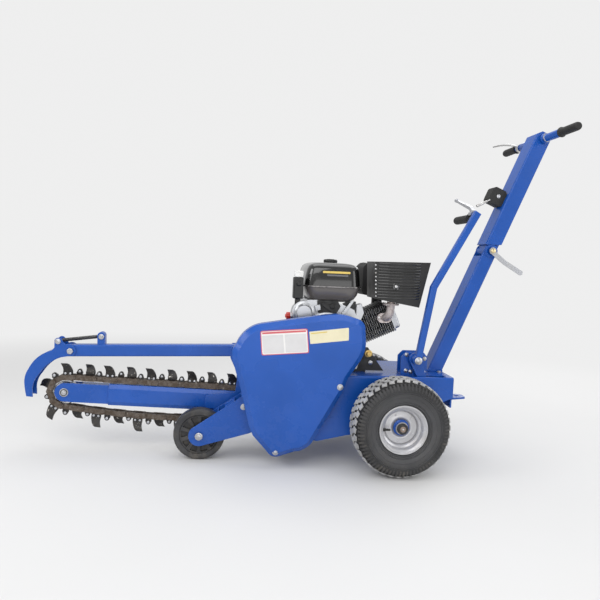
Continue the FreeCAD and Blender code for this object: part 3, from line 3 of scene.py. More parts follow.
import sys
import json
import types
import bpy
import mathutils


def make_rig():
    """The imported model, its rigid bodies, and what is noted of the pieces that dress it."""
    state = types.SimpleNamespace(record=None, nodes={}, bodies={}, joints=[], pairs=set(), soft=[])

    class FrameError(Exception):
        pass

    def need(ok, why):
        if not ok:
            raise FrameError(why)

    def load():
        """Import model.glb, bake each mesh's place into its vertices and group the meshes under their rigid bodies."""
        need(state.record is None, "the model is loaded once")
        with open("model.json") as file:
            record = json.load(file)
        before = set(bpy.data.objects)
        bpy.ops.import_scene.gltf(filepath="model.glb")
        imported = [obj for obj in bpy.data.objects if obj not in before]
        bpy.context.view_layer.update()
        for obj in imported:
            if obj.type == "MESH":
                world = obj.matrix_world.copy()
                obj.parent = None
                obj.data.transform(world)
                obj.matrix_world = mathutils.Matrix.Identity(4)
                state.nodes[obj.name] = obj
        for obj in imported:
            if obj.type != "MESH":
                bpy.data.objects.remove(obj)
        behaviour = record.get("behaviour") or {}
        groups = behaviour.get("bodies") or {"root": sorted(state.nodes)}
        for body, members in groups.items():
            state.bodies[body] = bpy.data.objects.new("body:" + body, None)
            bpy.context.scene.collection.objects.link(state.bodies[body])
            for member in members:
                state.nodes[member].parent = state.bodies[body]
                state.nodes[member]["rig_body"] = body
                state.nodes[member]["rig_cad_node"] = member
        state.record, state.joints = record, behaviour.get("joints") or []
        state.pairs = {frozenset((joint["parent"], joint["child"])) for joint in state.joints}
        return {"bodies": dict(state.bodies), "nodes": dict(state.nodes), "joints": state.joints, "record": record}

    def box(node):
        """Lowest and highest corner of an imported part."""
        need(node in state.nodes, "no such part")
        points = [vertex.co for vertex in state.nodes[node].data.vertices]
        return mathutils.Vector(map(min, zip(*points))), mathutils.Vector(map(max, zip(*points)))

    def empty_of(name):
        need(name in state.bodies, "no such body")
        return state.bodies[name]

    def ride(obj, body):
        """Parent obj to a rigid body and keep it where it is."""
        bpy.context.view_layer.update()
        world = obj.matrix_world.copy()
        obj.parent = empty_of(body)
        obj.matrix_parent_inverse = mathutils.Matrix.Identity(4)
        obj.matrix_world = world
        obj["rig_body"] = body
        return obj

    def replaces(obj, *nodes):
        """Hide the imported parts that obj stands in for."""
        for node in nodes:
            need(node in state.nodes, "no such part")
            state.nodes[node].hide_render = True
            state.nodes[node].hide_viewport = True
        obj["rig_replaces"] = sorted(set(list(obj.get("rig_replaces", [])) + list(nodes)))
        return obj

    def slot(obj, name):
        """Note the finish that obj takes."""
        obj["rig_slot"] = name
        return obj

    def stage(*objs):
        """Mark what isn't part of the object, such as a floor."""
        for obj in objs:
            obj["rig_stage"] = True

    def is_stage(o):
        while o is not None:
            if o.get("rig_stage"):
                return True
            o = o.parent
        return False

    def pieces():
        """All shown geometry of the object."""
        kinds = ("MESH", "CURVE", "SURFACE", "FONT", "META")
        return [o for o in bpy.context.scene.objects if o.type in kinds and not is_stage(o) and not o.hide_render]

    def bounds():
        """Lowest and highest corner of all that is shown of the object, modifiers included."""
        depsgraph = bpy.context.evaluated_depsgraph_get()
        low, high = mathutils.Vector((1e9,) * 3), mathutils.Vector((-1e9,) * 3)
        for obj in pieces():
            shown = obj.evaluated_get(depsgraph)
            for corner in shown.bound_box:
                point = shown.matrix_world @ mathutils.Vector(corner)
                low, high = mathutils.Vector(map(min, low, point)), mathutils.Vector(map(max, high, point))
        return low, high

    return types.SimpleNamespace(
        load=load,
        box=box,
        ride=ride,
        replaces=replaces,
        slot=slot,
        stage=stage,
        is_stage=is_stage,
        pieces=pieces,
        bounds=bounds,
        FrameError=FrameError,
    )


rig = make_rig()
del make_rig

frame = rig.load()

import json
import math

import bmesh
import bpy
from bpy.props import FloatProperty, FloatVectorProperty, IntProperty, PointerProperty
from mathutils import Matrix, Vector

bl_info = {
    "name": "Walk-behind trencher finishes",
    "version": (1, 0, 0),
    "blender": (4, 5, 0),
    "location": "3D View > Sidebar > Trencher",
    "description": "Paint, tread, fasteners and trim for a walk-behind trencher",
    "category": "Object",
}

CAD_BOX = [list(corner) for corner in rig.bounds()]
NODES = frame["nodes"]
JOINT = {joint["name"]: Vector(joint["pos_m"]) for joint in frame["joints"]}
AXLE = JOINT["left_wheel_spin"]
MM = 0.001
LEFT, RIGHT = Vector((0, -1, 0)), Vector((0, 1, 0))
FORE, AFT = Vector((-1, 0, 0)), Vector((1, 0, 0))
UP = Vector((0, 0, 1))
SIDES = {"left": -1, "right": 1}


def spot(x, y, z):
    """A point of the machine in millimetres: from the rear axle, the middle and the ground."""
    return Vector((AXLE.x + x * MM, y * MM, z * MM))


# ---------------- node trees

def sign(operation, swapped=False):
    """The method behind one arithmetic sign."""
    return lambda self, other: self.math(operation, other, swapped)


class Value:
    """One output of a node; arithmetic on it adds Math nodes."""

    def __init__(self, tree, socket):
        self.tree, self.socket = tree, socket

    def of(self, name):
        """Another output of the same node."""
        return Value(self.tree, self.socket.node.outputs[name])

    def math(self, operation, other=0.0, swapped=False):
        """A Math node on this value and another."""
        pair = (other, self) if swapped else (self, other)
        return self.tree.node("ShaderNodeMath", dict(enumerate(pair)), operation=operation)

    __add__, __radd__ = sign("ADD"), sign("ADD", True)
    __sub__, __rsub__ = sign("SUBTRACT"), sign("SUBTRACT", True)
    __mul__, __rmul__ = sign("MULTIPLY"), sign("MULTIPLY", True)
    __truediv__, __rtruediv__ = sign("DIVIDE"), sign("DIVIDE", True)

    def between(self, low, high):
        """0 below low, 1 above high and smooth between them."""
        return self.tree.node("ShaderNodeMapRange", {
            "Value": self, "From Min": low, "From Max": high}, interpolation_type="SMOOTHSTEP")


class Tree:
    """A node tree that is filled by one method."""

    def __init__(self, tree):
        self.tree = tree

    def node(self, kind, values=None, out=0, **settings):
        """Add a node of a type: its settings first, then the values or links of its sockets."""
        made = self.tree.nodes.new(kind)
        for name, setting in settings.items():
            setattr(made, name, setting)
        for name, value in (values or {}).items():
            self.feed(made.inputs[name], value)
        return Value(self, made.outputs[out]) if len(made.outputs) else made

    def feed(self, socket, value):
        """Link a socket to a value of the tree, or set it."""
        if isinstance(value, Value):
            self.tree.links.new(value.socket, socket)
        else:
            socket.default_value = value


def rgba(colour):
    """A colour with its alpha; one number stands for a grey."""
    colour = (colour,) * 3 if isinstance(colour, (int, float)) else tuple(colour)
    return colour[:3] + (1.0,)


class Finish(Tree):
    """A material round one Principled shader, with the patterns that the finishes share."""

    def __init__(self, name, **shader):
        self.material = bpy.data.materials.new(name)
        self.material.use_nodes = True
        super().__init__(self.material.node_tree)
        self.tree.nodes.clear()
        self.shader = self.node("ShaderNodeBsdfPrincipled")
        self.set(**shader)
        self.node("ShaderNodeOutputMaterial", {"Surface": self.shader})
        self.place = self.node("ShaderNodeTexCoord", out="Object")
        self.axes = self.node("ShaderNodeSeparateXYZ", {"Vector": self.place})

    def set(self, **values):
        """Feed inputs of the shader, with _ for a space in a name."""
        for name, value in values.items():
            self.feed(self.shader.socket.node.inputs[name.replace("_", " ")], value)

    def noise(self, scale, detail=3.0, rough=0.55, stretch=None):
        """Cloudy noise from 0 to 1; stretch scales it along each axis."""
        where = self.place
        if stretch:
            where = self.node("ShaderNodeMapping", {"Vector": self.place, "Scale": stretch})
        return self.node("ShaderNodeTexNoise", {
            "Vector": where, "Scale": scale, "Detail": detail, "Roughness": rough})

    def mix(self, factor, first, second):
        """A colour between two colours."""
        first, second = [c if isinstance(c, Value) else rgba(c) for c in (first, second)]
        return self.node("ShaderNodeMix", {0: factor, 6: first, 7: second}, 2, data_type="RGBA")

    def vector(self, operation, first, second=(0.0, 0.0, 0.0), out=0):
        return self.node("ShaderNodeVectorMath", {0: first, 1: second}, out, operation=operation)

    def bump(self, height, strength, distance, normal=None):
        """A normal that follows a height, over another normal."""
        under = {"Normal": normal} if normal else {}
        return self.node("ShaderNodeBump", {
            "Height": height, "Strength": strength, "Distance": distance, **under})

    def soft_edge(self, radius):
        """A normal that rounds sharp edges."""
        return self.node("ShaderNodeBevel", {"Radius": radius}, samples=4)

    def worn_edge(self, radius, first=0.02, last=0.16):
        """0 on flat faces, rising to 1 where a sharp edge turns; it places edge wear and painted edge highlights."""
        flat = self.node("ShaderNodeNewGeometry", out="Normal")
        turn = self.vector("DOT_PRODUCT", self.soft_edge(radius), flat, "Value")
        return (1.0 - turn).between(first, last)

    def low_dust(self, amount):
        """Dry soil that clings to the lower parts."""
        near_ground = 1.0 - self.axes.of("Z").between(0.02, 0.42)
        return near_ground * self.noise(16.0, 6.0, 0.68).between(0.42, 0.72) * amount


def enamel(name, deep, bright, rough, dust, coat, peel=0.12, edge=0.0012, metallic=0.0,
           specular=0.5):
    """Sprayed paint on steel: slow shifts of tone, orange peel, fine scuffs, low dust, and lighter sharp edges that
    are partly wear and partly painted highlight.
    """
    paint = Finish(name, Coat_Roughness=0.16, Coat_Weight=coat, Metallic=metallic,
                   Specular_IOR_Level=specular)
    cloud = paint.noise(4.0).between(0.3, 0.7)
    scuff = (paint.noise(38.0, 5.0, 0.7, (1.0, 1.0, 9.0)).between(0.66, 0.72)
             * paint.noise(7.0, 2.0).between(0.5, 0.62))
    dirt = paint.low_dust(dust)
    colour = paint.mix(cloud * 0.4 + 0.35, deep, bright)
    # Scuffs are lighter as wear; sharp edges are lighter as wear and as a painted highlight.
    colour = paint.mix(scuff * 0.14 + paint.worn_edge(edge * 0.8) * 0.35, colour,
                       [min(1.0, c * 1.6 + 0.1) for c in bright])
    paint.set(Base_Color=paint.mix(dirt, colour, (0.30, 0.26, 0.21)),
              Roughness=rough + cloud * 0.02 + scuff * 0.15 + dirt * 0.9,
              Normal=paint.bump(paint.noise(520.0, 2.0), peel, 0.0003, paint.soft_edge(edge)))


def rubber(name, dark, dusty, rough, dust):
    """Moulded rubber with a bloom of dust in its hollows; where a finish makes the second colour pale, that colour is
    painted highlight as well as dust.
    """
    skin = Finish(name, Specular_IOR_Level=0.4)
    bloom = skin.noise(9.0, 5.0, 0.65).between(0.35, 0.75)
    speck = skin.noise(160.0, 4.0, 0.7).between(0.5, 0.75)
    colour = skin.mix(bloom * 0.7 + speck * 0.3, dark, dusty)
    skin.set(Base_Color=skin.mix(skin.low_dust(dust), colour, (0.24, 0.21, 0.17)),
             Roughness=rough + bloom * 0.16 + speck * 0.06,
             Normal=skin.bump(skin.noise(340.0, 4.0, 0.7), 0.35, 0.0005, skin.soft_edge(0.0015)))


def sidewall(name, dark, dusty, rough, dust, middle, rings):
    """Tyre rubber with moulded rings; each ring is (radius, half width) round the middle. The rings are painted
    lighter as a highlight, and the sidewall has a lighter, glossier painted sheen towards the rim.
    """
    skin = Finish(name, Specular_IOR_Level=0.45)
    from_middle = skin.vector("SUBTRACT", skin.place, middle)
    out = skin.vector("LENGTH", skin.vector("MULTIPLY", from_middle, (1.0, 0.0, 1.0)), out="Value")
    ridge = 0.0
    for radius, half in rings:
        off = (out - radius).math("ABSOLUTE")
        ridge = (1.0 - off.between(half * 0.4, half)) + ridge
    bloom = skin.noise(9.0, 5.0, 0.65).between(0.35, 0.75)
    # Painted sheen: lighter bluish grey towards the rim.
    worn = (1.0 - out.between(0.110, 0.168)) * 0.55
    # The raised rings are painted lighter too, as a painted highlight.
    colour = skin.mix(bloom * 0.35 + worn + ridge * 0.3, dark, dusty)
    grain = skin.bump(skin.noise(340.0, 4.0, 0.7), 0.3, 0.0004, skin.soft_edge(0.0015))
    skin.set(Base_Color=skin.mix(skin.low_dust(dust), colour, (0.20, 0.18, 0.15)),
             Roughness=rough + bloom * 0.12 - worn * 0.12,
             Normal=skin.bump(ridge, 0.9, 0.0022, grain))


def coated(name, colours, film, share, rough, gain, grain, edge=None, **shader):
    """Any thin skin: a film shifts its colour and gloss, over a fine grain."""
    skin = Finish(name, **shader)
    drift = skin.noise(*film[:3]).between(*film[3:])
    scale, detail, strength = grain
    skin.set(Base_Color=skin.mix(drift * share, *colours), Roughness=rough + drift * gain,
             Normal=skin.bump(skin.noise(scale, detail), strength, 0.0002,
                              edge and skin.soft_edge(edge)))


def plated(name, colour, stain, rough=0.26):
    """Zinc plate, polished steel or brass, with a dull film in places."""
    coated(name, (colour, stain), (55.0, 5.0, 0.65, 0.45, 0.75), 0.8, rough, 0.3,
           (420.0, 3.0, 0.1), 0.0006, Metallic=1.0)


def plastic(name, colour, rough=0.42, grain=0.3, scale=900.0, coat=0.0):
    """Moulded plastic or gloss black metal with a fine skin."""
    lighter = [min(1.0, c * 1.5 + 0.012) for c in rgba(colour)[:3]]
    coated(name, (colour, lighter), (20.0, 4.0, 0.6, 0.45, 0.75), 0.6, rough, 0.1,
           (scale, 2.0, grain), 0.001, Coat_Weight=coat, Coat_Roughness=0.05)


def printed(name, colour):
    """A clean laminated sticker."""
    darker = [c * 0.9 for c in rgba(colour)[:3]]
    coated(name, (colour, darker), (26.0, 3.0, 0.55, 0.3, 0.8), 0.7, 0.32, 0.1,
           (300.0, 2.0, 0.05), Coat_Weight=0.3, Coat_Roughness=0.1)


def cast_metal(name, colour, shade, rough=0.42, metallic=0.75, rub=None):
    """Sand or die castings: a grainy skin, darker where oil settles; the last colour goes on sharp edges as bare metal
    and painted highlight.
    """
    cast = Finish(name, Metallic=metallic)
    stain = cast.noise(13.0, 6.0, 0.7).between(0.4, 0.7)
    grain = cast.noise(480.0, 3.0, 0.6)
    skin = cast.mix(stain * 0.6, colour, shade)
    # Sharp edges: bare metal and a painted highlight.
    if rub:
        skin = cast.mix(cast.worn_edge(0.0016, 0.01, 0.08), skin, rub)
    cast.set(Base_Color=skin, Roughness=rough + stain * 0.2 + grain * 0.08,
             Normal=cast.bump(grain, 0.3, 0.0006, cast.soft_edge(0.001)))


def rusty_steel(name, bare, brown, rust, rough=0.5, bright=0.35):
    """Oiled chain steel: brown film, flakes of rust and worn bright patches."""
    steel = Finish(name)
    film = steel.noise(70.0, 5.0, 0.7).between(0.35, 0.65)
    flake = steel.noise(150.0, 6.0, 0.75).between(0.56, 0.7)
    worn = steel.noise(95.0, 3.0, 0.6).between(0.62, 0.7) * bright
    colour = steel.mix(flake * 0.7, steel.mix(film, bare, brown), rust)
    steel.set(Base_Color=steel.mix(worn, colour, (0.55, 0.52, 0.48)),
              Metallic=0.55 - flake * 0.4 + worn * 0.4,
              Roughness=rough + flake * 0.3 - worn * 0.2,
              Normal=steel.bump(film + flake, 0.35, 0.0006, steel.soft_edge(0.0008)))


def hot_pipe(name, low, high):
    """Bare exhaust steel, rusty towards its hot upper flange."""
    pipe = Finish(name)
    heat = pipe.axes.of("Z").between(low, high)
    flake = pipe.noise(110.0, 6.0, 0.7).between(0.4, 0.7)
    colour = pipe.mix(flake, (0.56, 0.51, 0.50), (0.42, 0.35, 0.33))
    pipe.set(Base_Color=pipe.mix(heat * (0.5 + flake * 0.5), colour, (0.30, 0.13, 0.055)),
             Metallic=0.5 - heat * 0.3, Roughness=0.45 + flake * 0.2 + heat * 0.15,
             Normal=pipe.bump(flake, 0.3, 0.0005))


def axle_finish(name, cap_from):
    """Steel in the middle, with black caps beyond a distance from the machine's middle."""
    both = Finish(name)
    cap = both.axes.of("Y").math("ABSOLUTE").math("GREATER_THAN", cap_from)
    speck = both.noise(120.0, 4.0, 0.6).between(0.4, 0.7)
    both.set(Base_Color=both.mix(cap, (0.45, 0.45, 0.46), both.mix(speck, 0.012, 0.035)),
             Metallic=0.9 - cap * 0.9, Roughness=0.34 + speck * 0.14,
             Normal=both.bump(speck, 0.15, 0.0003, both.soft_edge(0.001)))


# ---------------- sizes and colours

COLOUR = {"subtype": "COLOR", "size": 3, "min": 0.0, "max": 1.0}
LENGTH = {"subtype": "DISTANCE", "unit": "LENGTH"}


class TRENCHER_PG_paint(bpy.types.PropertyGroup):
    """Colours of the finishes."""

    blue_deep: FloatVectorProperty(
        name="Deep Blue", description="Darker tone of the machine's paint",
        default=(0.003, 0.060, 0.300), **COLOUR)
    blue_bright: FloatVectorProperty(
        name="Bright Blue", description="Lighter tone of the machine's paint",
        default=(0.014, 0.100, 0.470), **COLOUR)
    rim: FloatVectorProperty(
        name="Rim", description="Silver paint of the wheel rims",
        default=(0.58, 0.58, 0.60), **COLOUR)
    rubber: FloatVectorProperty(
        name="Rubber", description="Colour of the tyres where they are clean",
        default=(0.020, 0.020, 0.021), **COLOUR)
    dust: FloatProperty(
        name="Dust", description="How much dry soil clings to the lower parts",
        subtype="FACTOR", min=0.0, max=1.0, default=0.05)


class TRENCHER_PG_tread(bpy.types.PropertyGroup):
    """Sizes of the turf tread."""

    blocks: IntProperty(
        name="Blocks", description="Blocks round the tyre in one row", min=12, max=60, default=38)
    block_high: FloatProperty(
        name="Block Height", description="How far the blocks stand above the casing",
        min=0.001, max=0.01, default=0.0045, **LENGTH)
    lug_high: FloatProperty(
        name="Lug Height", description="How far the shoulder lugs stand above the casing",
        min=0.0005, max=0.005, default=0.0019, **LENGTH)


class TRENCHER_PG_spring(bpy.types.PropertyGroup):
    """Sizes of the coil spring on the crumber shoe."""

    turns: IntProperty(
        name="Turns", description="Turns of the spring's wire", min=8, max=80, default=46)
    wire: FloatProperty(
        name="Wire", description="Radius of the spring's wire",
        min=0.0003, max=0.003, default=0.00115, **LENGTH)
    coil: FloatProperty(
        name="Coil", description="Radius of the spring's coil to the middle of its wire",
        min=0.003, max=0.02, default=0.0066, **LENGTH)


class TRENCHER_PG_stage(bpy.types.PropertyGroup):
    """Light and camera."""

    floor: FloatVectorProperty(
        name="Floor", description="Colour of the floor", default=(0.72, 0.72, 0.72), **COLOUR)
    sky: FloatProperty(
        name="Sky", description="Strength of the even light from all round",
        min=0.0, max=3.0, default=0.62)
    lamp: FloatProperty(
        name="Lamps", description="Strength of the soft lamps, as a share of the usual",
        subtype="FACTOR", min=0.0, max=3.0, default=0.9)
    lens: FloatProperty(
        name="Lens", description="Focal length of the camera, in millimetres",
        min=10.0, max=200.0, default=36.0)


def settings(group):
    """The scene's settings of one property group."""
    return getattr(bpy.context.scene, "trencher_" + group)


def finishes(paint):
    """What makes each material: its maker and the maker's values."""
    return {
        "blue_paint": (enamel, paint.blue_deep, paint.blue_bright, 0.26, paint.dust, 0.16, 0.12,
                       0.0032, 0.0, 0.32),
        "rim_silver": (enamel, [c * 0.9 for c in paint.rim], paint.rim, 0.27, 0.35, 0.35, 0.08,
                       0.0012, 0.45),
        # The lower bowl of the gloss black tank is painted grey-brown, a painted reflection of the pale floor.
        "tank_bowl": (enamel, (0.085, 0.078, 0.075), (0.15, 0.138, 0.132), 0.2, 0.0, 0.4),
        # Its second colour is dust, a painted sheen towards the rim and a painted highlight on the rings.
        "tyre_rubber": (sidewall, paint.rubber, (0.066, 0.067, 0.072), 0.46, 0.14, AXLE, (
            (0.1015, 0.0022), (0.108, 0.0022), (0.144, 0.0028), (0.150, 0.0016),
            (0.126, 0.0012))),
        # The groove base is darker than the casing rubber: painted shade between the tread blocks.
        "groove_rubber": (rubber, 0.006, 0.016, 0.6, 0.05),
        # The tread blocks are painted pale grey: partly dust, partly a painted highlight on their lit tops.
        "tread_rubber": (rubber, 0.34, (0.66, 0.655, 0.65), 0.34, 0.15),
        "wheel_rubber": (rubber, (0.028, 0.028, 0.03), (0.075, 0.075, 0.078), 0.42, 0.4),
        "axle_steel": (axle_finish, 0.3475),
        "zinc_plate": (plated, (0.52, 0.53, 0.56), (0.36, 0.35, 0.33), 0.3),
        "yellow_zinc": (plated, (0.72, 0.60, 0.34), (0.50, 0.42, 0.28)),
        "polished_steel": (plated, 0.60, (0.34, 0.32, 0.30), 0.22),
        "brass": (plated, (0.66, 0.47, 0.18), (0.40, 0.28, 0.12), 0.3),
        "axle_brown": (plated, (0.34, 0.27, 0.23), (0.15, 0.10, 0.08), 0.4),
        "spring_steel": (plated, (0.12, 0.12, 0.125), 0.05, 0.34),
        "tank_seam": (plated, (0.22, 0.21, 0.21), 0.10, 0.24),
        "chain_steel": (rusty_steel, (0.15, 0.125, 0.105), (0.080, 0.058, 0.042),
                        (0.15, 0.075, 0.036)),
        "tooth_steel": (rusty_steel, (0.022, 0.022, 0.024), (0.040, 0.036, 0.032),
                        (0.075, 0.05, 0.035), 0.38, 0.8),
        "gloss_black": (plastic, 0.0045, 0.10, 0.04, 500.0, 0.8),
        "satin_black": (plastic, 0.006, 0.34, 0.15, 420.0),
        "black_plastic": (plastic, 0.012),
        "grip_rubber": (plastic, 0.014, 0.62, 0.5, 700.0),
        "white_plastic": (plastic, (0.72, 0.72, 0.70), 0.3, 0.1),
        "red_plastic": (plastic, (0.52, 0.03, 0.018), 0.32, 0.12),
        # The fins' pale edge colour is partly bare metal and partly a painted highlight.
        "fin_black": (cast_metal, 0.016, 0.006, 0.30, 0.5, (0.80, 0.80, 0.82)),
        "dark_metal": (cast_metal, 0.055, 0.02, 0.42, 0.6),
        "cast_aluminium": (cast_metal, (0.38, 0.39, 0.41), (0.15, 0.15, 0.16)),
        "exhaust_steel": (hot_pipe, 0.640, 0.672),
        "white_sticker": (printed, (0.82, 0.81, 0.80)),
        "red_sticker": (printed, (0.62, 0.10, 0.12)),
        "pale_sticker": (printed, (0.66, 0.655, 0.66)),
        "grey_sticker": (printed, (0.13, 0.13, 0.135)),
        "amber_sticker": (printed, (0.70, 0.52, 0.12)),
        "cream_sticker": (printed, (0.78, 0.72, 0.50)),
    }


def finish(name):
    """The named material, made when it is first asked for."""
    if name not in bpy.data.materials:
        maker, *values = finishes(settings("paint"))[name]
        maker(name, *values)
    return bpy.data.materials[name]


# ---------------- shapes

def laid(at, along, size=1.0, up=UP):
    """A place with its local Z along a direction and its local X towards up."""
    along = Vector(along).normalized()
    if abs(along.dot(up)) > 0.999:
        up = AFT if abs(along.x) < 0.9 else RIGHT
    across = (up - along * up.dot(along)).normalized()
    turn = Matrix((across, along.cross(across), along)).transposed().to_4x4()
    return Matrix.Translation(at) @ turn @ Matrix.Scale(size, 4)


def pair(at, across, size=1.0):
    """Both sides of a point, millimetres across from it and facing outwards."""
    return [(at + RIGHT * side * across * MM, RIGHT * side, size) for side in (-1, 1)]


def circle(count, radius=1.0, turn=0.0, wave=0.0):
    """Points evenly round a circle; wave pushes out every second one."""
    return [((radius + wave * (k % 2)) * math.cos(math.tau * k / count + turn),
             (radius + wave * (k % 2)) * math.sin(math.tau * k / count + turn))
            for k in range(count)]


def arc(radius, start, end, step):
    """Points of a circle between two angles in degrees."""
    return [(radius * math.cos(math.radians(d)), radius * math.sin(math.radians(d)))
            for d in range(start, end, step)]


def rounded_box(half_x, half_y, radius, steps=7):
    """A rectangle with round corners, as an outline."""
    outline = []
    for quarter, (sx, sy) in enumerate(((1, 1), (-1, 1), (-1, -1), (1, -1))):
        for k in range(steps + 1):
            angle = math.pi / 2 * (quarter + k / steps)
            outline.append((sx * (half_x - radius) + radius * math.cos(angle),
                            sy * (half_y - radius) + radius * math.sin(angle)))
    return outline


def linked(name, data):
    """A new object of the scene."""
    made = bpy.data.objects.new(name, data)
    bpy.context.scene.collection.objects.link(made)
    return made


def as_piece(mesh, name, material, body, slot=None, sharp=38.0):
    """An object for a mesh whose place is already in its points; it rides on a body."""
    mesh.shade_smooth()
    mesh.set_sharp_from_angle(angle=math.radians(sharp))
    mesh.materials.clear()
    mesh.materials.append(finish(material))
    made = linked(name, mesh)
    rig.ride(made, body)
    if slot:
        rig.slot(made, slot)
    return made


class Shape:
    """Gathers closed solids in one mesh; a place is a matrix or the values that laid takes."""

    def __init__(self):
        self.mesh = bmesh.new()

    def add(self, points, faces, place=None):
        """One solid from its points and faces."""
        place = laid(*place) if isinstance(place, tuple) else place or Matrix.Identity(4)
        corners = [self.mesh.verts.new(place @ Vector(point)) for point in points]
        made = [self.mesh.faces.new([corners[i] for i in face]) for face in faces]
        bmesh.ops.recalc_face_normals(self.mesh, faces=made)
        return self

    def lathe(self, outline, *places, steps=32):
        """Turn an outline of (radius, height) in millimetres round the local Z of each place."""
        points, rings, faces = [], [], []
        for radius, height in outline:
            ring = circle(steps if radius > 1e-4 else 1, radius)
            rings.append([len(points) + k for k in range(len(ring))])
            points += [Vector((x, y, height)) * MM for x, y in ring]
        for low, high in zip(rings, rings[1:] + rings[:1]):
            for k in range(steps if max(len(low), len(high)) > 1 else 0):
                after = (k + 1) % steps
                face = list(dict.fromkeys([low[k % len(low)], low[after % len(low)],
                                           high[after % len(high)], high[k % len(high)]]))
                if len(face) > 2:
                    faces.append(face)
        for place in places or [None]:
            self.add(points, faces, place)
        return self

    def loft(self, sections, place=None):
        """Join sections of the same number of points and cap the ends."""
        count = len(sections[0])
        points = [point for section in sections for point in section]
        faces = [(low + k, low + (k + 1) % count, low + count + (k + 1) % count, low + count + k)
                 for low in range(0, len(points) - count, count) for k in range(count)]
        faces += [tuple(range(count)), tuple(range(len(points) - count, len(points)))]
        return self.add(points, faces, place)

    def stack(self, outline, levels, place=None):
        """Loft an outline in millimetres; each level is its height and the outline's share."""
        return self.loft([[Vector((x * share, y * share, z)) * MM for x, y in outline]
                          for z, share in levels], place)

    def plate(self, outline, near, far):
        """A plate between two widths of the machine, from its (x, z) corners."""
        return self.loft([[spot(x, y, z) for x, z in outline] for y in (near, far)])

    def block(self, low, high):
        """A box of the machine from its lowest to its highest corner."""
        (x0, y0, z0), (x1, y1, z1) = low, high
        return self.loft([[spot(x, y, z) for x, y in ((x0, y0), (x1, y0), (x1, y1), (x0, y1))]
                          for z in (z0, z1)])

    def tube(self, path, radii, steps=12):
        """A round bar along points, with a radius for each."""
        sections, side = [], None
        for k, point in enumerate(path):
            ahead = (path[min(k + 1, len(path) - 1)] - path[max(k - 1, 0)]).normalized()
            side = side or ahead.orthogonal().normalized()
            side = (side - ahead * side.dot(ahead)).normalized()
            sections.append([point + (side * x + ahead.cross(side) * y) * radii[k]
                             for x, y in circle(steps)])
        return self.loft(sections)

    def to_mesh(self, name):
        mesh = bpy.data.meshes.new(name)
        self.mesh.to_mesh(mesh)
        self.mesh.free()
        return mesh

    def piece(self, name, material, body="machine", slot=None, round_off=0.0, sharp=38.0):
        """Finish the mesh as a piece."""
        made = as_piece(self.to_mesh(name), name, material, body, slot, sharp)
        if round_off:
            rounded = made.modifiers.new("rounded edges", "BEVEL")
            rounded.width, rounded.segments = round_off * MM, 2
            rounded.limit_method, rounded.angle_limit = "ANGLE", math.radians(sharp)
        return made


# ---------------- geometry trees

class Growth(Tree):
    """A geometry tree with named inputs that ends in real geometry with a finish."""

    def __init__(self, name, **inputs):
        super().__init__(bpy.data.node_groups.new(name, "GeometryNodeTree"))
        face = self.tree.interface
        for label, kind in {"Geometry": "Geometry", **inputs, "Finish": "Material"}.items():
            face.new_socket(label, in_out="INPUT", socket_type="NodeSocket" + kind)
        face.new_socket("Geometry", in_out="OUTPUT", socket_type="NodeSocketGeometry")
        self.start = self.node("NodeGroupInput")

    def parts(self, vector):
        """The three numbers of a vector."""
        split = self.node("ShaderNodeSeparateXYZ", {"Vector": vector})
        return split, split.of("Y"), split.of("Z")

    def model(self, label):
        """The geometry of an object that is an input."""
        return self.node("GeometryNodeObjectInfo", {"Object": self.start.of(label)}, "Geometry",
                         transform_space="ORIGINAL")

    def on_points(self):
        """The Piece on every point, turned and sized by the point's own values."""
        turn, size = [self.node("GeometryNodeInputNamedAttribute", {"Name": label},
                                data_type="FLOAT_VECTOR") for label in ("turn", "size")]
        return self.node("GeometryNodeInstanceOnPoints", {
            "Points": self.start.of("Geometry"), "Instance": self.model("Piece"), "Scale": size,
            "Rotation": self.node("FunctionNodeEulerToRotation", {"Euler": turn})})

    def close(self, geometry):
        """End the tree in real geometry that has the finish."""
        real = self.node("GeometryNodeRealizeInstances", {"Geometry": geometry})
        done = self.node("GeometryNodeSetMaterial", {
            "Geometry": real, "Material": self.start.of("Finish")})
        self.node("NodeGroupOutput", {"Geometry": done})
        return self.tree


def grown(name, base, tree, material, body, slot=None, sharp=38.0, **values):
    """Run a tree over a base mesh and keep the plain mesh that it makes."""
    seed = linked(name + "_seed", base)
    growth = seed.modifiers.new("growth", "NODES")
    growth.node_group = tree
    values["Finish"] = finish(material)
    for item in tree.interface.items_tree:
        if item.in_out == "INPUT" and item.name in values:
            growth[item.identifier] = values[item.name]
    graph = bpy.context.evaluated_depsgraph_get()
    mesh = bpy.data.meshes.new_from_object(seed.evaluated_get(graph), depsgraph=graph)
    bpy.data.objects.remove(seed)
    if not mesh.polygons:
        raise RuntimeError(name + ": its tree makes nothing")
    mesh.name = name
    return as_piece(mesh, name, material, body, slot, sharp)


def repeat_tree():
    """Puts a piece on every point."""
    name = "pieces on points"
    if name not in bpy.data.node_groups:
        tree = Growth(name, Piece="Object")
        tree.close(tree.on_points())
    return bpy.data.node_groups[name]


def repeated(name, model, places, material, body="machine", slot=None, sharp=38.0, tree=None,
             **values):
    """One piece made of a model shape repeated at places."""
    places = [laid(*place) if isinstance(place, tuple) else place for place in places]
    points = bpy.data.meshes.new("places")
    points.from_pydata([place.to_translation() for place in places], [], [])
    for label, read in (("turn", lambda p: p.to_euler()), ("size", lambda p: p.to_scale())):
        layer = points.attributes.new(label, "FLOAT_VECTOR", "POINT")
        layer.data.foreach_set("vector", [number for p in places for number in read(p)])
    pattern = linked("pattern", model.to_mesh("pattern"))
    made = grown(name, points, tree or repeat_tree(), material, body, slot, sharp, Piece=pattern,
                 **values)
    bpy.data.objects.remove(pattern)
    return made


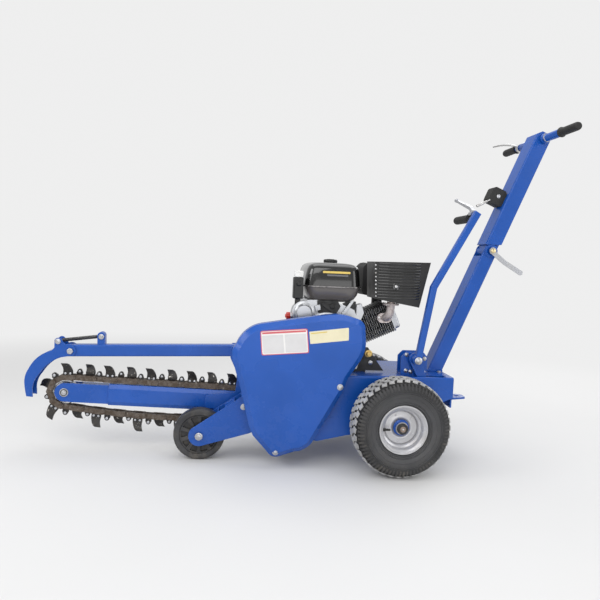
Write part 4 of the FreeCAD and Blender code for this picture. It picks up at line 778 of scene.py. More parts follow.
def hex_bolt(high=0.62, washer=1.45):
    """A hexagon head of unit radius on its washer, standing on local Z."""
    head = Shape()
    if washer:
        head.lathe([(0, 0), (washer, 0), (washer, 0.14), (washer - 0.08, 0.2), (0, 0.2)], steps=20)
    base = 0.16 if washer else 0.0
    return head.stack(circle(6), ((base, 1.0), (base + high * 0.86, 1.0), (base + high, 0.86)))


def bolts(name, places, material="zinc_plate", body="machine", slot=None, **shape):
    """Bolt heads; a place is (point, direction, radius in millimetres)."""
    repeated(name, hex_bolt(**shape), places, material, body, slot)


def screws(name, places, material="polished_steel", body="machine", slot=None):
    """Round-headed screws, placed like bolts."""
    head = [(0, 0), (1.0, 0), (1.0, 0.25), (0.82, 0.5), (0.45, 0.62), (0, 0.64)]
    repeated(name, Shape().lathe(head, steps=16), places, material, body, slot)


# ---------------- finishes of the model

DRESS = {
    "blue_paint": "chassis_frame rear_hitch drive_cover front_fork boom_beam boom_nose "
                  "boom_cradle crumber_bar crumber_shoe depth_lever lower_column upper_column "
                  "lever_bracket lift_link handlebar",
    "rim_silver": "rim_left rim_right",
    "wheel_rubber": "front_wheel",
    "axle_steel": "rear_axle",
    "polished_steel": "head_shaft nose_wheel",
    "dark_metal": "shaft_bearings front_axle drive_sprocket",
    "chain_steel": "digging_chain",
    "zinc_plate": "lever_release grip_lever clamp_lever",
    "gloss_black": "fuel_tank",
    "satin_black": "muffler_guard recoil_starter engine_rails",
    "fin_black": "engine_cylinder muffler",
    "cast_aluminium": "engine_block valve_cover",
    "exhaust_steel": "exhaust_pipe",
    "black_plastic": "air_cleaner lever_catch",
    "grip_rubber": "handle_grips lever_grip",
}


class TRENCHER_OT_finishes(bpy.types.Operator):
    """Give every part of the model its paint, metal, rubber or plastic"""

    bl_idname = "trencher.finishes"
    bl_label = "Finishes"

    def execute(self, context):
        for name, nodes in DRESS.items():
            for node in nodes.split():
                for slot in NODES[node].material_slots:
                    slot.material = finish(name)
        return {"FINISHED"}


# ---------------- wheels

CASING = [(78, 49), (84, 54), (95.5, 56.5), (97, 62), (104, 66.5), (112, 70), (126, 73),
          (140.3, 74.4), (152, 74.4), (162, 72.6), (169, 69.3), (174.5, 64.5), (178.4, 57.5),
          (181, 49), (183, 37), (184, 24), (184, 0)]
CASING_RADIUS = 184
BANDS = [(101, 1.6, 3.0), (108, 2.0, 3.0), (144, 2.6, 3.0)]
RING = [(92.4, 61.4), (89.4, 61.6), (87.0, 58.0), (82.0, 55.0), (78.6, 51.0), (77.2, 45.0),
        (76.6, 33.5), (73.0, 30.8), (70.0, 29.8), (67.4, 27.0), (66.0, 21.0), (65.6, 12.0)]
DISC = [(65.4, 11.0), (65.2, 16.4), (62.5, 20.2), (58.5, 20.8), (47.0, 20.0), (43.5, 21.6),
        (38.5, 21.6), (35.5, 19.6), (31.5, 14.2), (24.2, 13.0)]


def wheel_place(side):
    """Local Z along the axle and outwards, local X up, at a rear wheel's middle."""
    return laid(JOINT[side + "_wheel_spin"], RIGHT * SIDES[side])


def both_ways(half):
    """A profile from its outer half: (radius, distance from the middle), crown last."""
    return [(r, -y) for r, y in half[:-1]] + half[::-1]


class TRENCHER_OT_rims(bpy.types.Operator):
    """Press the rims of the rear wheels: stepped ring, dished disc and hub"""

    bl_idname = "trencher.rims"
    bl_label = "Rims"

    def execute(self, context):
        line = RING + [(r, -z) for r, z in RING[::-1]]
        for side in SIDES:
            place = wheel_place(side)
            rim = Shape().lathe([(r + 1.2, z) for r, z in line]
                                + [(r - 1.2, z) for r, z in line[::-1]], place, steps=96)
            for lip in (60.6, -60.6):
                rim.lathe([(92.2 + x, lip + y) for x, y in circle(10, 1.7)], place, steps=96)
            rim.lathe(DISC + [(r, z - 3.6) for r, z in DISC[::-1]], place, steps=96)
            rim.lathe([(19.2, 37.8), (23.2, 37.8), (24, 36.8), (24, -45), (19.2, -45)], place,
                      steps=48)
            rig.replaces(rim.piece("rim_pressing_" + side, "rim_silver", side + "_wheel", "rim",
                                  sharp=50.0), "rim_" + side)
        return {"FINISHED"}


def casing_tree():
    """Wraps pieces from a flat sheet round the casing: x round the tyre, y across, z off it."""
    tree = Growth("tread", Piece="Object", Casing="Object", Around="Float")
    flat = tree.node("GeometryNodeRealizeInstances", {"Geometry": tree.on_points()})
    line = tree.node("GeometryNodeMeshToCurve", {"Mesh": tree.model("Casing")})
    around, across, off = tree.parts(tree.node("GeometryNodeInputPosition"))
    half = tree.node("GeometryNodeCurveLength", {"Curve": line}) * 0.5
    on_line = tree.node("GeometryNodeSampleCurve", {"Curves": line, "Length": half + across},
                        "Position", mode="LENGTH", use_all_curves=True)
    radius, width, _ = tree.parts(on_line)
    lean_r, lean_y, _ = tree.parts(on_line.of("Tangent"))
    radius = radius + lean_y * off
    angle = around / tree.start.of("Around")
    wrapped = tree.node("ShaderNodeCombineXYZ", {
        "X": radius * angle.math("COSINE"), "Y": radius * angle.math("SINE"),
        "Z": width - lean_r * off})
    return tree.close(tree.node("GeometryNodeSetPosition", {
        "Geometry": flat, "Position": wrapped}))


def tread_block(long, wide, high, taper):
    """One block: long round the tyre, wide across it, rounded at the top."""
    sections = []
    for z, less in ((-0.002, -0.0004), (high * 0.75, taper * 0.6), (high, taper)):
        x, y = long / 2 - less, wide / 2 - less
        sections.append([(x, -y, z), (x, -y / 3, z), (x, y / 3, z), (x, y, z), (0, y, z),
                         (-x, y, z), (-x, y / 3, z), (-x, -y / 3, z), (-x, -y, z), (0, -y, z)])
    block = Shape().loft(sections)
    bmesh.ops.connect_verts_concave(block.mesh, faces=block.mesh.faces[:])
    return block


class TRENCHER_OT_tyres(bpy.types.Operator):
    """Build the rear tyres: casing with bands, turf blocks and shoulder lugs"""

    bl_idname = "trencher.tyres"
    bl_label = "Tyres"

    def execute(self, context):
        tread = settings("tread")
        pitch = math.tau * CASING_RADIUS * MM / tread.blocks
        profile = both_ways(CASING)
        guide = bpy.data.meshes.new("casing line")
        guide.from_pydata([(r * MM, y * MM, 0) for r, y in profile],
                          [(n, n + 1) for n in range(len(profile) - 1)], [])
        line = linked("casing line", guide)
        tree = casing_tree()
        blocks = [Matrix.Translation(((n + 0.5 * (row in (-0.5, 1.5)) + 0.12 * row) * pitch,
                                      row * 0.0285, 0))
                  @ Matrix.Rotation(0.32 if row in (-1.5, 0.5) else -0.32, 4, "Z")
                  for n in range(tread.blocks) for row in (-1.5, -0.5, 0.5, 1.5)]
        lugs = [Matrix.Translation(((n + step + 0.2) * pitch, face * 0.0765, 0))
                for n in range(tread.blocks) for step in (0, 0.5) for face in (1, -1)]
        for side in SIDES:
            place, body = wheel_place(side), side + "_wheel"
            casing = Shape().lathe(profile + [(77.5, 47), (100, 44), (100, -44), (77.5, -47)],
                                   place, steps=128)
            for ring, wide, stand in BANDS:
                y = self.casing_half(ring)
                for face in (1, -1):
                    casing.lathe([(r, face * (y + off)) for r, off in (
                        (ring - wide, -2), (ring - wide, 0), (ring, stand * 0.5),
                        (ring + wide, 0.2), (ring + wide, -2))], place, steps=96)
            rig.replaces(casing.piece("tyre_casing_" + side, "tyre_rubber", body, "tyre"),
                        "tyre_" + side)
            # The tread base takes the darker groove rubber, a painted shade in the grooves.
            crown = [(r + 0.3, y) for r, y in CASING[10:]]
            Shape().lathe(both_ways(crown) + both_ways([(r - 2, -y) for r, y in crown]), place,
                          steps=128).piece("tread_base_" + side, "groove_rubber", body, "tyre")
            for kind, places, model, material in (
                    ("blocks", blocks, (0.66, 0.0215, tread.block_high, 0.0008), "tread_rubber"),
                    ("lugs", lugs, (0.27, 0.026, tread.lug_high, 0.0006), "wheel_rubber")):
                made = repeated("tread_%s_%s" % (kind, side),
                                tread_block(pitch * model[0], *model[1:]), places, material, body,
                                "tyre", 30.0, tree, Casing=line, Around=CASING_RADIUS * MM)
                made.data.transform(place)
                made.data.update()
        bpy.data.objects.remove(line)
        return {"FINISHED"}

    @staticmethod
    def casing_half(radius):
        """Half width of the casing at a radius, in millimetres."""
        for (r0, y0), (r1, y1) in zip(CASING, CASING[1:]):
            if r0 <= radius <= r1:
                return y0 + (y1 - y0) * (radius - r0) / (r1 - r0)
        raise ValueError(radius)


# ---------------- stage

BACKDROP = 0.86
EYE = (-668, -2519, 801)
EYE_TURN, EYE_RISE, EYE_ROLL = (math.radians(a) for a in (-6.773, 3.6, 2.525))
LAMPS = {
    "key": ((-1400, -3400, 3300), (0, 0, 500), 3.4, 2.4, 66.0),
    "front": ((-300, -4300, 780), (-300, 0, 780), 3.6, 1.5, 24.0),
    "side": ((-3300, -1100, 2200), (0, 0, 500), 1.5, 1.5, 30.0),
    "fill": ((3400, -2600, 1500), (0, 0, 500), 2.4, 2.4, 34.0),
    "top": ((200, 600, 3700), (0, 0, 500), 3.8, 3.0, 56.0),
    "rear": ((2600, 2800, 2000), (0, 0, 500), 2.4, 2.0, 38.0),
}


class TRENCHER_OT_stage(bpy.types.Operator):
    """Build the pale floor, the soft lamps and the camera"""

    bl_idname = "trencher.stage"
    bl_label = "Stage"

    def execute(self, context):
        values, scene = settings("stage"), context.scene
        sweep = Shape().loft([[(-40, y, 0.0), (-40, y, -0.02), (40, y, -0.02), (40, y, 0.0)]
                              for y in (-40.0, 40.0)])
        floor = linked("floor", sweep.to_mesh("floor"))
        surface = Finish("floor_paint")
        surface.set(Base_Color=surface.mix(surface.noise(1.5), values.floor,
                                           [c * 0.97 for c in values.floor]),
                    Roughness=0.75 + surface.noise(8.0) * 0.1)
        away = surface.vector("LENGTH", surface.place, out="Value").between(1.7, 4.2)
        seen = surface.node("ShaderNodeLightPath", out="Is Camera Ray")
        pale = surface.node("ShaderNodeEmission", {"Color": rgba(BACKDROP)})
        end = surface.tree.nodes["Material Output"]
        surface.feed(end.inputs["Surface"], surface.node("ShaderNodeMixShader", {
            0: away * seen, 1: surface.shader, 2: pale}))
        floor.data.materials.append(surface.material)
        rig.stage(floor)

        scene.world = bpy.data.worlds.new("studio")
        scene.world.use_nodes = True
        sky = Tree(scene.world.node_tree)
        sky.tree.nodes.clear()
        even, seen = [sky.node("ShaderNodeBackground", {"Color": rgba(tone), "Strength": strength})
                      for tone, strength in ((1.0, values.sky), (BACKDROP, 1.0))]
        both = sky.node("ShaderNodeMixShader", {
            0: sky.node("ShaderNodeLightPath", out="Is Camera Ray"), 1: even, 2: seen})
        sky.node("ShaderNodeOutputWorld", {"Surface": both})

        for name, (at, to, wide, high, power) in LAMPS.items():
            at, to = spot(*at), spot(*to)
            lamp = bpy.data.lights.new(name, "AREA")
            lamp.shape = "RECTANGLE"
            lamp.size, lamp.size_y = wide, high
            lamp.energy = power * values.lamp
            made = linked(name, lamp)
            facing = (at - to).to_track_quat("Z", "Y").to_matrix().to_4x4()
            made.matrix_world = Matrix.Translation(at) @ facing
            made.visible_camera = False

        camera = bpy.data.cameras.new("camera")
        camera.lens, camera.sensor_width, camera.clip_end = values.lens, 36.0, 60.0
        back = Vector((math.sin(EYE_TURN) * math.cos(EYE_RISE),
                       -math.cos(EYE_TURN) * math.cos(EYE_RISE), math.sin(EYE_RISE)))
        side = Vector((math.cos(EYE_TURN), math.sin(EYE_TURN), 0))
        top = back.cross(side)
        turn = Matrix((side * math.cos(EYE_ROLL) + top * math.sin(EYE_ROLL),
                       top * math.cos(EYE_ROLL) - side * math.sin(EYE_ROLL), back))
        eye = linked("camera", camera)
        eye.matrix_world = Matrix.Translation(spot(*EYE)) @ turn.transposed().to_4x4()
        scene.camera = eye
        scene.view_settings.view_transform = "Standard"
        return {"FINISHED"}


# ---------------- wheel details

class TRENCHER_OT_wheel_details(bpy.types.Operator):
    """Add the valves, hub sleeves, rim welds, axle nuts and the guide wheel's bolt"""

    bl_idname = "trencher.wheel_details"
    bl_label = "Wheel Details"

    def execute(self, context):
        for side, out in SIDES.items():
            place, body = wheel_place(side), side + "_wheel"
            lean = place @ laid((-0.004, -out * 0.0775, 0.040), (0.05, out, 0.25))
            Shape().lathe([(0, 0), (6, 0), (6.2, 10), (4.6, 14), (4.4, 20), (4, 21), (4.2, 29),
                           (3, 31), (0, 31)], lean, steps=16).piece(
                "valve_" + side, "black_plastic", body)
            Shape().lathe([(24.5, 19.5), (30, 18.5), (31, 22.5), (28, 25), (25.5, 26.2),
                           (24.5, 37.5)], place, steps=40).piece(
                "hub_sleeve_" + side, "blue_paint", body, "paint_blue")
            screws("disc_welds_" + side, [
                place @ Matrix.Rotation(math.tau * (k + 0.35) / 5, 4, "Z")
                @ laid((0.0525, 0, 0.0202), UP, 3.8) for k in range(5)], "rim_silver", body, "rim")
            Shape().lathe([(0, 51), (11.8, 51), (10.8, 52.6), (0, 52.6)], place, steps=28).piece(
                "axle_end_" + side, "axle_brown")
            screws("axle_centre_" + side, [(place @ Vector((0, 0, 0.0525)), RIGHT * out, 4.2)])
        bolts("guide_wheel_bolt", [(spot(-766, -177.2, 101.5), LEFT, 10.5)], slot="zinc")
        return {"FINISHED"}


# ---------------- digging chain

TILT = math.radians(2.1)
BOOM_REACH, PITCH, HEAD, TIP, SAG = 898.0, 41.4, 54.09, 60.49, 28.0


def boom_spot(along, across, above):
    """A point of the boom in millimetres from the head shaft; the nose is at -898 along."""
    return spot(-420 + along * math.cos(TILT) + above * math.sin(TILT), across,
                200 - along * math.sin(TILT) + above * math.cos(TILT))


def chain_pins():
    """Pin centres round the chain, along and above the boom."""
    lean = math.pi / 2 - math.asin((TIP - HEAD) / BOOM_REACH)

    def bend(x, radius, start, end):
        return [Vector((x + radius * math.cos(angle), radius * math.sin(angle)))
                for angle in (start + (end - start) * step / 60 for step in range(61))]

    path = bend(0, HEAD, 0, lean) + bend(-BOOM_REACH, TIP, lean, 1.5 * math.pi + 0.06)
    start, end = path[-1], Vector((HEAD * math.cos(1.5 * math.pi + 0.1), -HEAD))
    path += [start.lerp(end, share) - Vector((0, 4 * SAG * share * (1 - share)))
             for share in (step / 120 for step in range(1, 120))]
    path += bend(0, HEAD, 1.5 * math.pi + 0.1, 2 * math.pi)
    steps = [(b - a).length for a, b in zip(path, path[1:])]
    links = 2 * round(sum(steps) / PITCH / 2)
    pins, walked, k = [], 0.0, 0
    for n in range(links):
        goal = n * sum(steps) / links
        while walked + steps[k] < goal:
            walked += steps[k]
            k += 1
        pins.append(path[k].lerp(path[k + 1], (goal - walked) / steps[k]))
    return pins


def link_place(pins, k):
    """Local X along a link towards the next pin and local Z off the chain."""
    start, end = [boom_spot(pin.x, 0, pin.y) for pin in (pins[k], pins[(k + 1) % len(pins)])]
    along = (end - start).normalized()
    off = RIGHT.cross(along)
    return Matrix.Translation(start) @ (
        Matrix((along, off.cross(along), off)).transposed().to_4x4())


def claw(hand, tall):
    """A cup claw: a bolted foot, then a plate that leans ahead, flares out and ends in an edge."""
    rows = [(11.3, 1, 37, 7, 18), (22, 0, 37, 7, 18), (tall * 0.50, 1, 36, 8, 20),
            (tall * 0.66, 4, 36, 11, 24), (tall * 0.80, 8, 38, 15, 28),
            (tall * 0.92, 13, 41, 19, 31), (tall, 21, 43, 23, 33)]
    sections = []
    for off, back, front, inner, outer in rows:
        inner, outer = inner * hand, outer * hand
        mid, hollow = (back + front) / 2, 3.2 * hand * (off > 25)
        sections.append([Vector(p) * MM for p in (
            (back, inner, off), (mid, inner + hollow, off), (front, inner, off),
            (front + 1.5, (inner + outer) / 2, off + 1), (front, outer, off),
            (mid, outer + hollow * 0.5, off), (back, outer, off),
            (back - 1.5, (inner + outer) / 2, off))])
    return Shape().loft(sections)


def claw_mount(hand):
    """The lug ahead of a claw, rounded at its top."""
    arch = [(-12, 11.3), (12, 11.3), (12.5, 19), *[
        (9.5 * x, 24 + 9 * z) for x, z in arc(1, 0, 181, 30)], (-12.5, 19)]
    return Shape().loft([[Vector((x, y, z)) * MM for x, z in arch]
                         for y in sorted((hand * 7, hand * 19))])


class TRENCHER_OT_claws(bpy.types.Operator):
    """Build the digging claws with their mounts and bolts"""

    bl_idname = "trencher.claws"
    bl_label = "Claws"

    def execute(self, context):
        pins = chain_pins()
        links = [link_place(pins, k) for k in range(len(pins))]
        near, far = [repeated("claws_" + label, claw(hand, tall), links[first::4], "tooth_steel",
                              "boom", "tooth", 50.0)
                     for label, hand, tall, first in (("near", 1, 60, 3), ("far", -1, 50, 1))]
        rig.replaces(near, "digging_teeth")
        heads = []
        for k, place in list(enumerate(links))[::2]:
            side = 13 * (1 if k % 4 == 0 else -1) + 6.2
            heads += [place @ laid(Vector((20.7, side, 23)) * MM, RIGHT * face, 6.2)
                      for face in (1, -1)]
        for k, place in list(enumerate(links))[1::2]:
            hand = 1 if k % 4 == 3 else -1
            heads += [place @ laid(Vector((along, hand * 18.2, 18)) * MM, RIGHT * hand, 4.8)
                      for along in (9, 28)]
        for label, hand, first in (("near", 1, 0), ("far", -1, 2)):
            repeated("claw_mounts_" + label, claw_mount(hand),
                     [place @ Matrix.Translation((20.7 * MM, 0, 0)) for place in links[first::4]],
                     "tooth_steel", "boom", "tooth", 40.0)
        bolts("claw_bolts", heads, body="boom", washer=0)
        return {"FINISHED"}


# ---------------- boom and crumber bar

def pivot_spot(along, above):
    """A point in millimetres from the crumber shoe's pivot."""
    return JOINT["shoe_trip"] + Vector((along * MM, 0, above * MM))


class TRENCHER_OT_boom_fasteners(bpy.types.Operator):
    """Add the bolts, washers and covers of the boom and the crumber bar"""

    bl_idname = "trencher.boom_fasteners"
    bl_label = "Boom Fasteners"

    def execute(self, context):
        tip = boom_spot(-BOOM_REACH, 0, 0)
        Shape().lathe([(0, 0), (17.5, 0), (17.5, 2), (16.5, 2.8), (12.5, 2.8), (12.5, 4.6),
                       (0, 4.6)], *pair(tip, 26.1), steps=40).piece(
            "nose_washers", "zinc_plate", "boom")
        Shape().lathe([(8.5, 4), (13.8, 4), (13.8, 5.2), (8.5, 5.6)], *pair(tip, 26.1)).piece(
            "nose_lock_rings", "dark_metal", "boom")
        bolts("boom_bolts", pair(tip, 30.4, 7.4) + pair(spot(-687, 0, 217), 31.2, 8.5),
              body="boom")
        covers = Shape()
        for place in pair(pivot_spot(0, 0), 30.5):
            covers.stack(circle(6, 13.2, 0.3), ((0, 1), (8.6, 1), (10.2, 11.2 / 13.2)), place)
        covers.piece("pivot_covers", "zinc_plate", "boom", round_off=0.8)
        bolts("spring_anchor_bolts", pair(pivot_spot(118, 60), 21.5, 7.5), body="boom")
        bolts("shoe_bolts", pair(pivot_spot(-48, 38), 34, 7.8), body="shoe")
        return {"FINISHED"}


SPRING_RISE, SPRING_LONG = math.radians(7.55), 0.139


def coil_tree():
    """A wound wire: turns, wire, coil and length are inputs; it starts at the origin along Z."""
    tree = Growth("coil spring", Turns="Float", Wire="Float", Coil="Float", Length="Float")
    read = tree.start.of
    line = tree.node("GeometryNodeCurveSpiral", {
        "Resolution": 16, "Rotations": read("Turns"), "Start Radius": read("Coil"),
        "End Radius": read("Coil"), "Height": read("Length"), "Reverse": False})
    ring = tree.node("GeometryNodeCurvePrimitiveCircle", {
        "Resolution": 7, "Radius": read("Wire")}, "Curve")
    return tree.close(tree.node("GeometryNodeCurveToMesh", {
        "Curve": line, "Profile Curve": ring, "Fill Caps": True}))


class TRENCHER_OT_coil_spring(bpy.types.Operator):
    """Wind the return spring of the crumber shoe and bend its two hooks"""

    bl_idname = "trencher.coil_spring"
    bl_label = "Coil Spring"

    def execute(self, context):
        values = settings("spring")
        along = Vector((math.cos(SPRING_RISE), 0, math.sin(SPRING_RISE)))
        start = pivot_spot(-42.4, 38.7) + along * 0.003
        spring = grown("coil_spring", bpy.data.meshes.new("seed"), coil_tree(), "spring_steel",
                       "boom", "steel", 60.0, Turns=float(values.turns), Wire=values.wire,
                       Coil=values.coil, Length=SPRING_LONG)
        spring.data.transform(laid(start, along))
        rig.replaces(spring, "return_spring")
        hooks = Shape()
        upright = along.cross(LEFT)
        for base, way, eye in ((start, -1, pivot_spot(-48, 38)),
                               (start + along * SPRING_LONG, 1, pivot_spot(116.4, 63.1))):
            path = [base + upright * values.coil, base + along * way * 0.002 + upright * 0.0060]
            path += [eye + along * way * x + upright * y
                     for x, y in arc(0.0064, 105, -136, -30)]
            hooks.tube(path, [values.wire * 1.02] * len(path), 8)
        hooks.piece("spring_hooks", "spring_steel", "boom", "steel")
        return {"FINISHED"}


# ---------------- cover, chassis and lever

def round_corners(points, steps, reach=0.0, radius=0.0, shrink=0.0):
    """Round an outline's corners, from a reach along its sides or from a radius."""
    outline = []
    for k, point in enumerate(points):
        back, on = [(points[n] - point).normalized() for n in (k - 1, (k + 1) % len(points))]
        start = reach or radius / math.tan(back.angle(on) / 2)
        point = point + (back + on) * shrink
        outline += [point + back * start * (1 - s) ** 2 + on * start * s ** 2
                    for s in (n / steps for n in range(steps + 1))]
    return outline


LABEL_FACE = -262.3
LABEL = [(-546, 535), (-366, 550), (-356, 456), (-537, 442)]
LABELS = {
    "label_border": (LABEL, "red_sticker", 0.3, 0.0, 8),
    "label_panel": (LABEL, "white_sticker", 0.6, 3.2, 7),
    "label_field_1": ([(-540, 518), (-458, 525), (-450, 454), (-531, 448)], "pale_sticker",
                      0.8, 1, 3),
    "label_field_2": ([(-454, 525.5), (-371, 532), (-362, 461), (-446, 454.5)], "pale_sticker",
                      0.8, 1, 3),
    "label_header": ([(-539, 530), (-372, 544), (-371.4, 537), (-538, 523)], "red_sticker",
                     0.8, 0.0, 2),
    "label_strip": ([(-359, 538), (-206, 558), (-204, 509), (-353, 491)], "cream_sticker",
                    0.5, 0.0, 3),
    "label_strip_band": ([(-352, 533), (-290, 541), (-290, 537), (-352, 529)], "amber_sticker",
                         0.7, 0.0, 1),
}


class TRENCHER_OT_cover_details(bpy.types.Operator):
    """Add the cover's bolts and its blank labels"""

    bl_idname = "trencher.cover_details"
    bl_label = "Cover Details"

    def execute(self, context):
        bolts("cover_bolts", [(spot(-229, LABEL_FACE, 326), LEFT, 8.5),
                              (spot(-469, -259.5, 68), LEFT, 8.5)])
        for name, (corners, material, thick, shrink, round_off) in LABELS.items():
            outline = round_corners([spot(x, LABEL_FACE, z) for x, z in corners], 4,
                                    round_off * MM, shrink=shrink * MM)
            Shape().loft([[p + LEFT * stand * MM for p in outline]
                          for stand in (-0.2, thick)]).piece(name, material)
        return {"FINISHED"}


class TRENCHER_OT_chassis_fasteners(bpy.types.Operator):
    """Bolt the chassis, fork, lever bracket, column feet and hinge"""

    bl_idname = "trencher.chassis_fasteners"
    bl_label = "Chassis Fasteners"

    def execute(self, context):
        bolts("fork_bolts", [(spot(-595, -168.2, 220), LEFT, 8.5)])
        bolts("bracket_bolts", [(spot(x, -152.2, z), LEFT, 6) for x, z in (
            (62, 377), (82, 373), (112, 373), (136, 372), (62, 443), (118, 441), (138, 428))])
        bolts("engine_mount_bolts", [(spot(x, y, 372.2), UP, 8.5)
                                     for x in (-400, -220, -120) for y in (-80, 80)])
        bolts("deck_bolts", [(spot(x, y, 360.3), UP, 7.5) for x in (170, 232) for y in (-72, 72)])
        hinge, pivot = JOINT["handle_tilt"], JOINT["lever_swing"]
        bolts("hinge_bolts", [(hinge + RIGHT * 0.0592, RIGHT, 11)], "yellow_zinc", washer=1.5)
        bolts("hinge_nut", [(hinge + LEFT * 0.0672, LEFT, 11)], "yellow_zinc", "handle", washer=0)
        bolts("lever_pivot_nut", [(Vector((pivot.x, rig.box("lever_bracket")[0].y, pivot.z)), LEFT,
                                   10.5)])
        return {"FINISHED"}


# ---------------- engine

TANK = (-251, 20, 654.3)
CAP = (-236, 60, 800)
STRIP_TILT, CYLINDER_TILT = math.radians(11), math.radians(24)
CRANK = (-270, 0, 497)


class TRENCHER_OT_fuel_tank(bpy.types.Operator):
    """Build the pressed fuel tank with its seam, filler cap and blank strip"""

    bl_idname = "trencher.fuel_tank"
    bl_label = "Fuel Tank"

    def execute(self, context):
        def shell(name, material, levels):
            x0, y0, z0 = TANK
            return Shape().loft([[spot(x0 + lean + x, y0 + y, z0 + z)
                                  for x, y in rounded_box(half_x, half_y, radius)]
                                 for z, half_x, half_y, radius, lean in levels]).piece(
                name, material, slot="engine_black", sharp=48.0)

        # The lower bowl's grey-brown is a painted reflection of the floor on the gloss black tank.
        shell("fuel_tank_bowl", "tank_bowl", [
            (-9, 70, 114, 32, 0), (-6, 84, 128, 38, 0), (4, 97, 141, 43, 0), (20, 107, 149, 46, 0),
            (38, 113, 154, 48, 0), (50.5, 117, 157, 48, 0)])
        shell("fuel_tank_seam", "tank_seam", [
            (50, 120.5, 160.5, 46, 0), (51, 122, 162, 47, 0), (55.5, 122, 162, 47, 0),
            (56.5, 120.5, 160.5, 46, 0)])
        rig.replaces(shell("fuel_tank_shell", "gloss_black", [
            (56, 117.5, 157.5, 46, 0), (78, 114.5, 155.5, 44, 0), (100, 111, 153, 42, 1),
            (120, 107, 150, 40, 2), (133, 102, 146, 38, 3), (141, 93, 137, 36, 3),
            (146, 80, 124, 33, 3), (149, 60, 104, 28, 3), (150, 34, 78, 20, 3)]), "fuel_tank")
        place = laid(spot(*CAP), UP)
        Shape().lathe([(0, 0), (34, 0), (34, 3), (28, 4.5), (0, 4.5)], place, steps=40).piece(
            "filler_neck", "polished_steel")
        levels = [(circle(48, r - 0.6, wave=1.5), z)
                  for r, z in ((28, 4.6), (29, 6.6), (29, 15), (27, 17.8))]
        cap = Shape().loft([[spot(*CAP) + Vector((x, y, z)) * MM for x, y in row]
                            for row, z in levels + [(circle(48, 23), 19)]])
        cap.lathe([(0, 18.8), (16, 18.8), (15, 20.4), (0, 20.6)], place)
        cap.piece("filler_cap", "satin_black", slot="engine_black")
        facing = LEFT * math.cos(STRIP_TILT) + UP * math.sin(STRIP_TILT)
        for name, at, wide, high, material in (
                ("tank_strip", (-240, -131.3, 766), 112, 8.5, "amber_sticker"),
                ("tank_strip_lower", (-236, -133.1, 754), 86, 7, "grey_sticker")):
            Shape().stack(rounded_box(high / 2, wide / 2, 1.2, 2), ((0, 1), (0.9, 1)),
                          (spot(*at), facing)).piece(name, material)
        return {"FINISHED"}


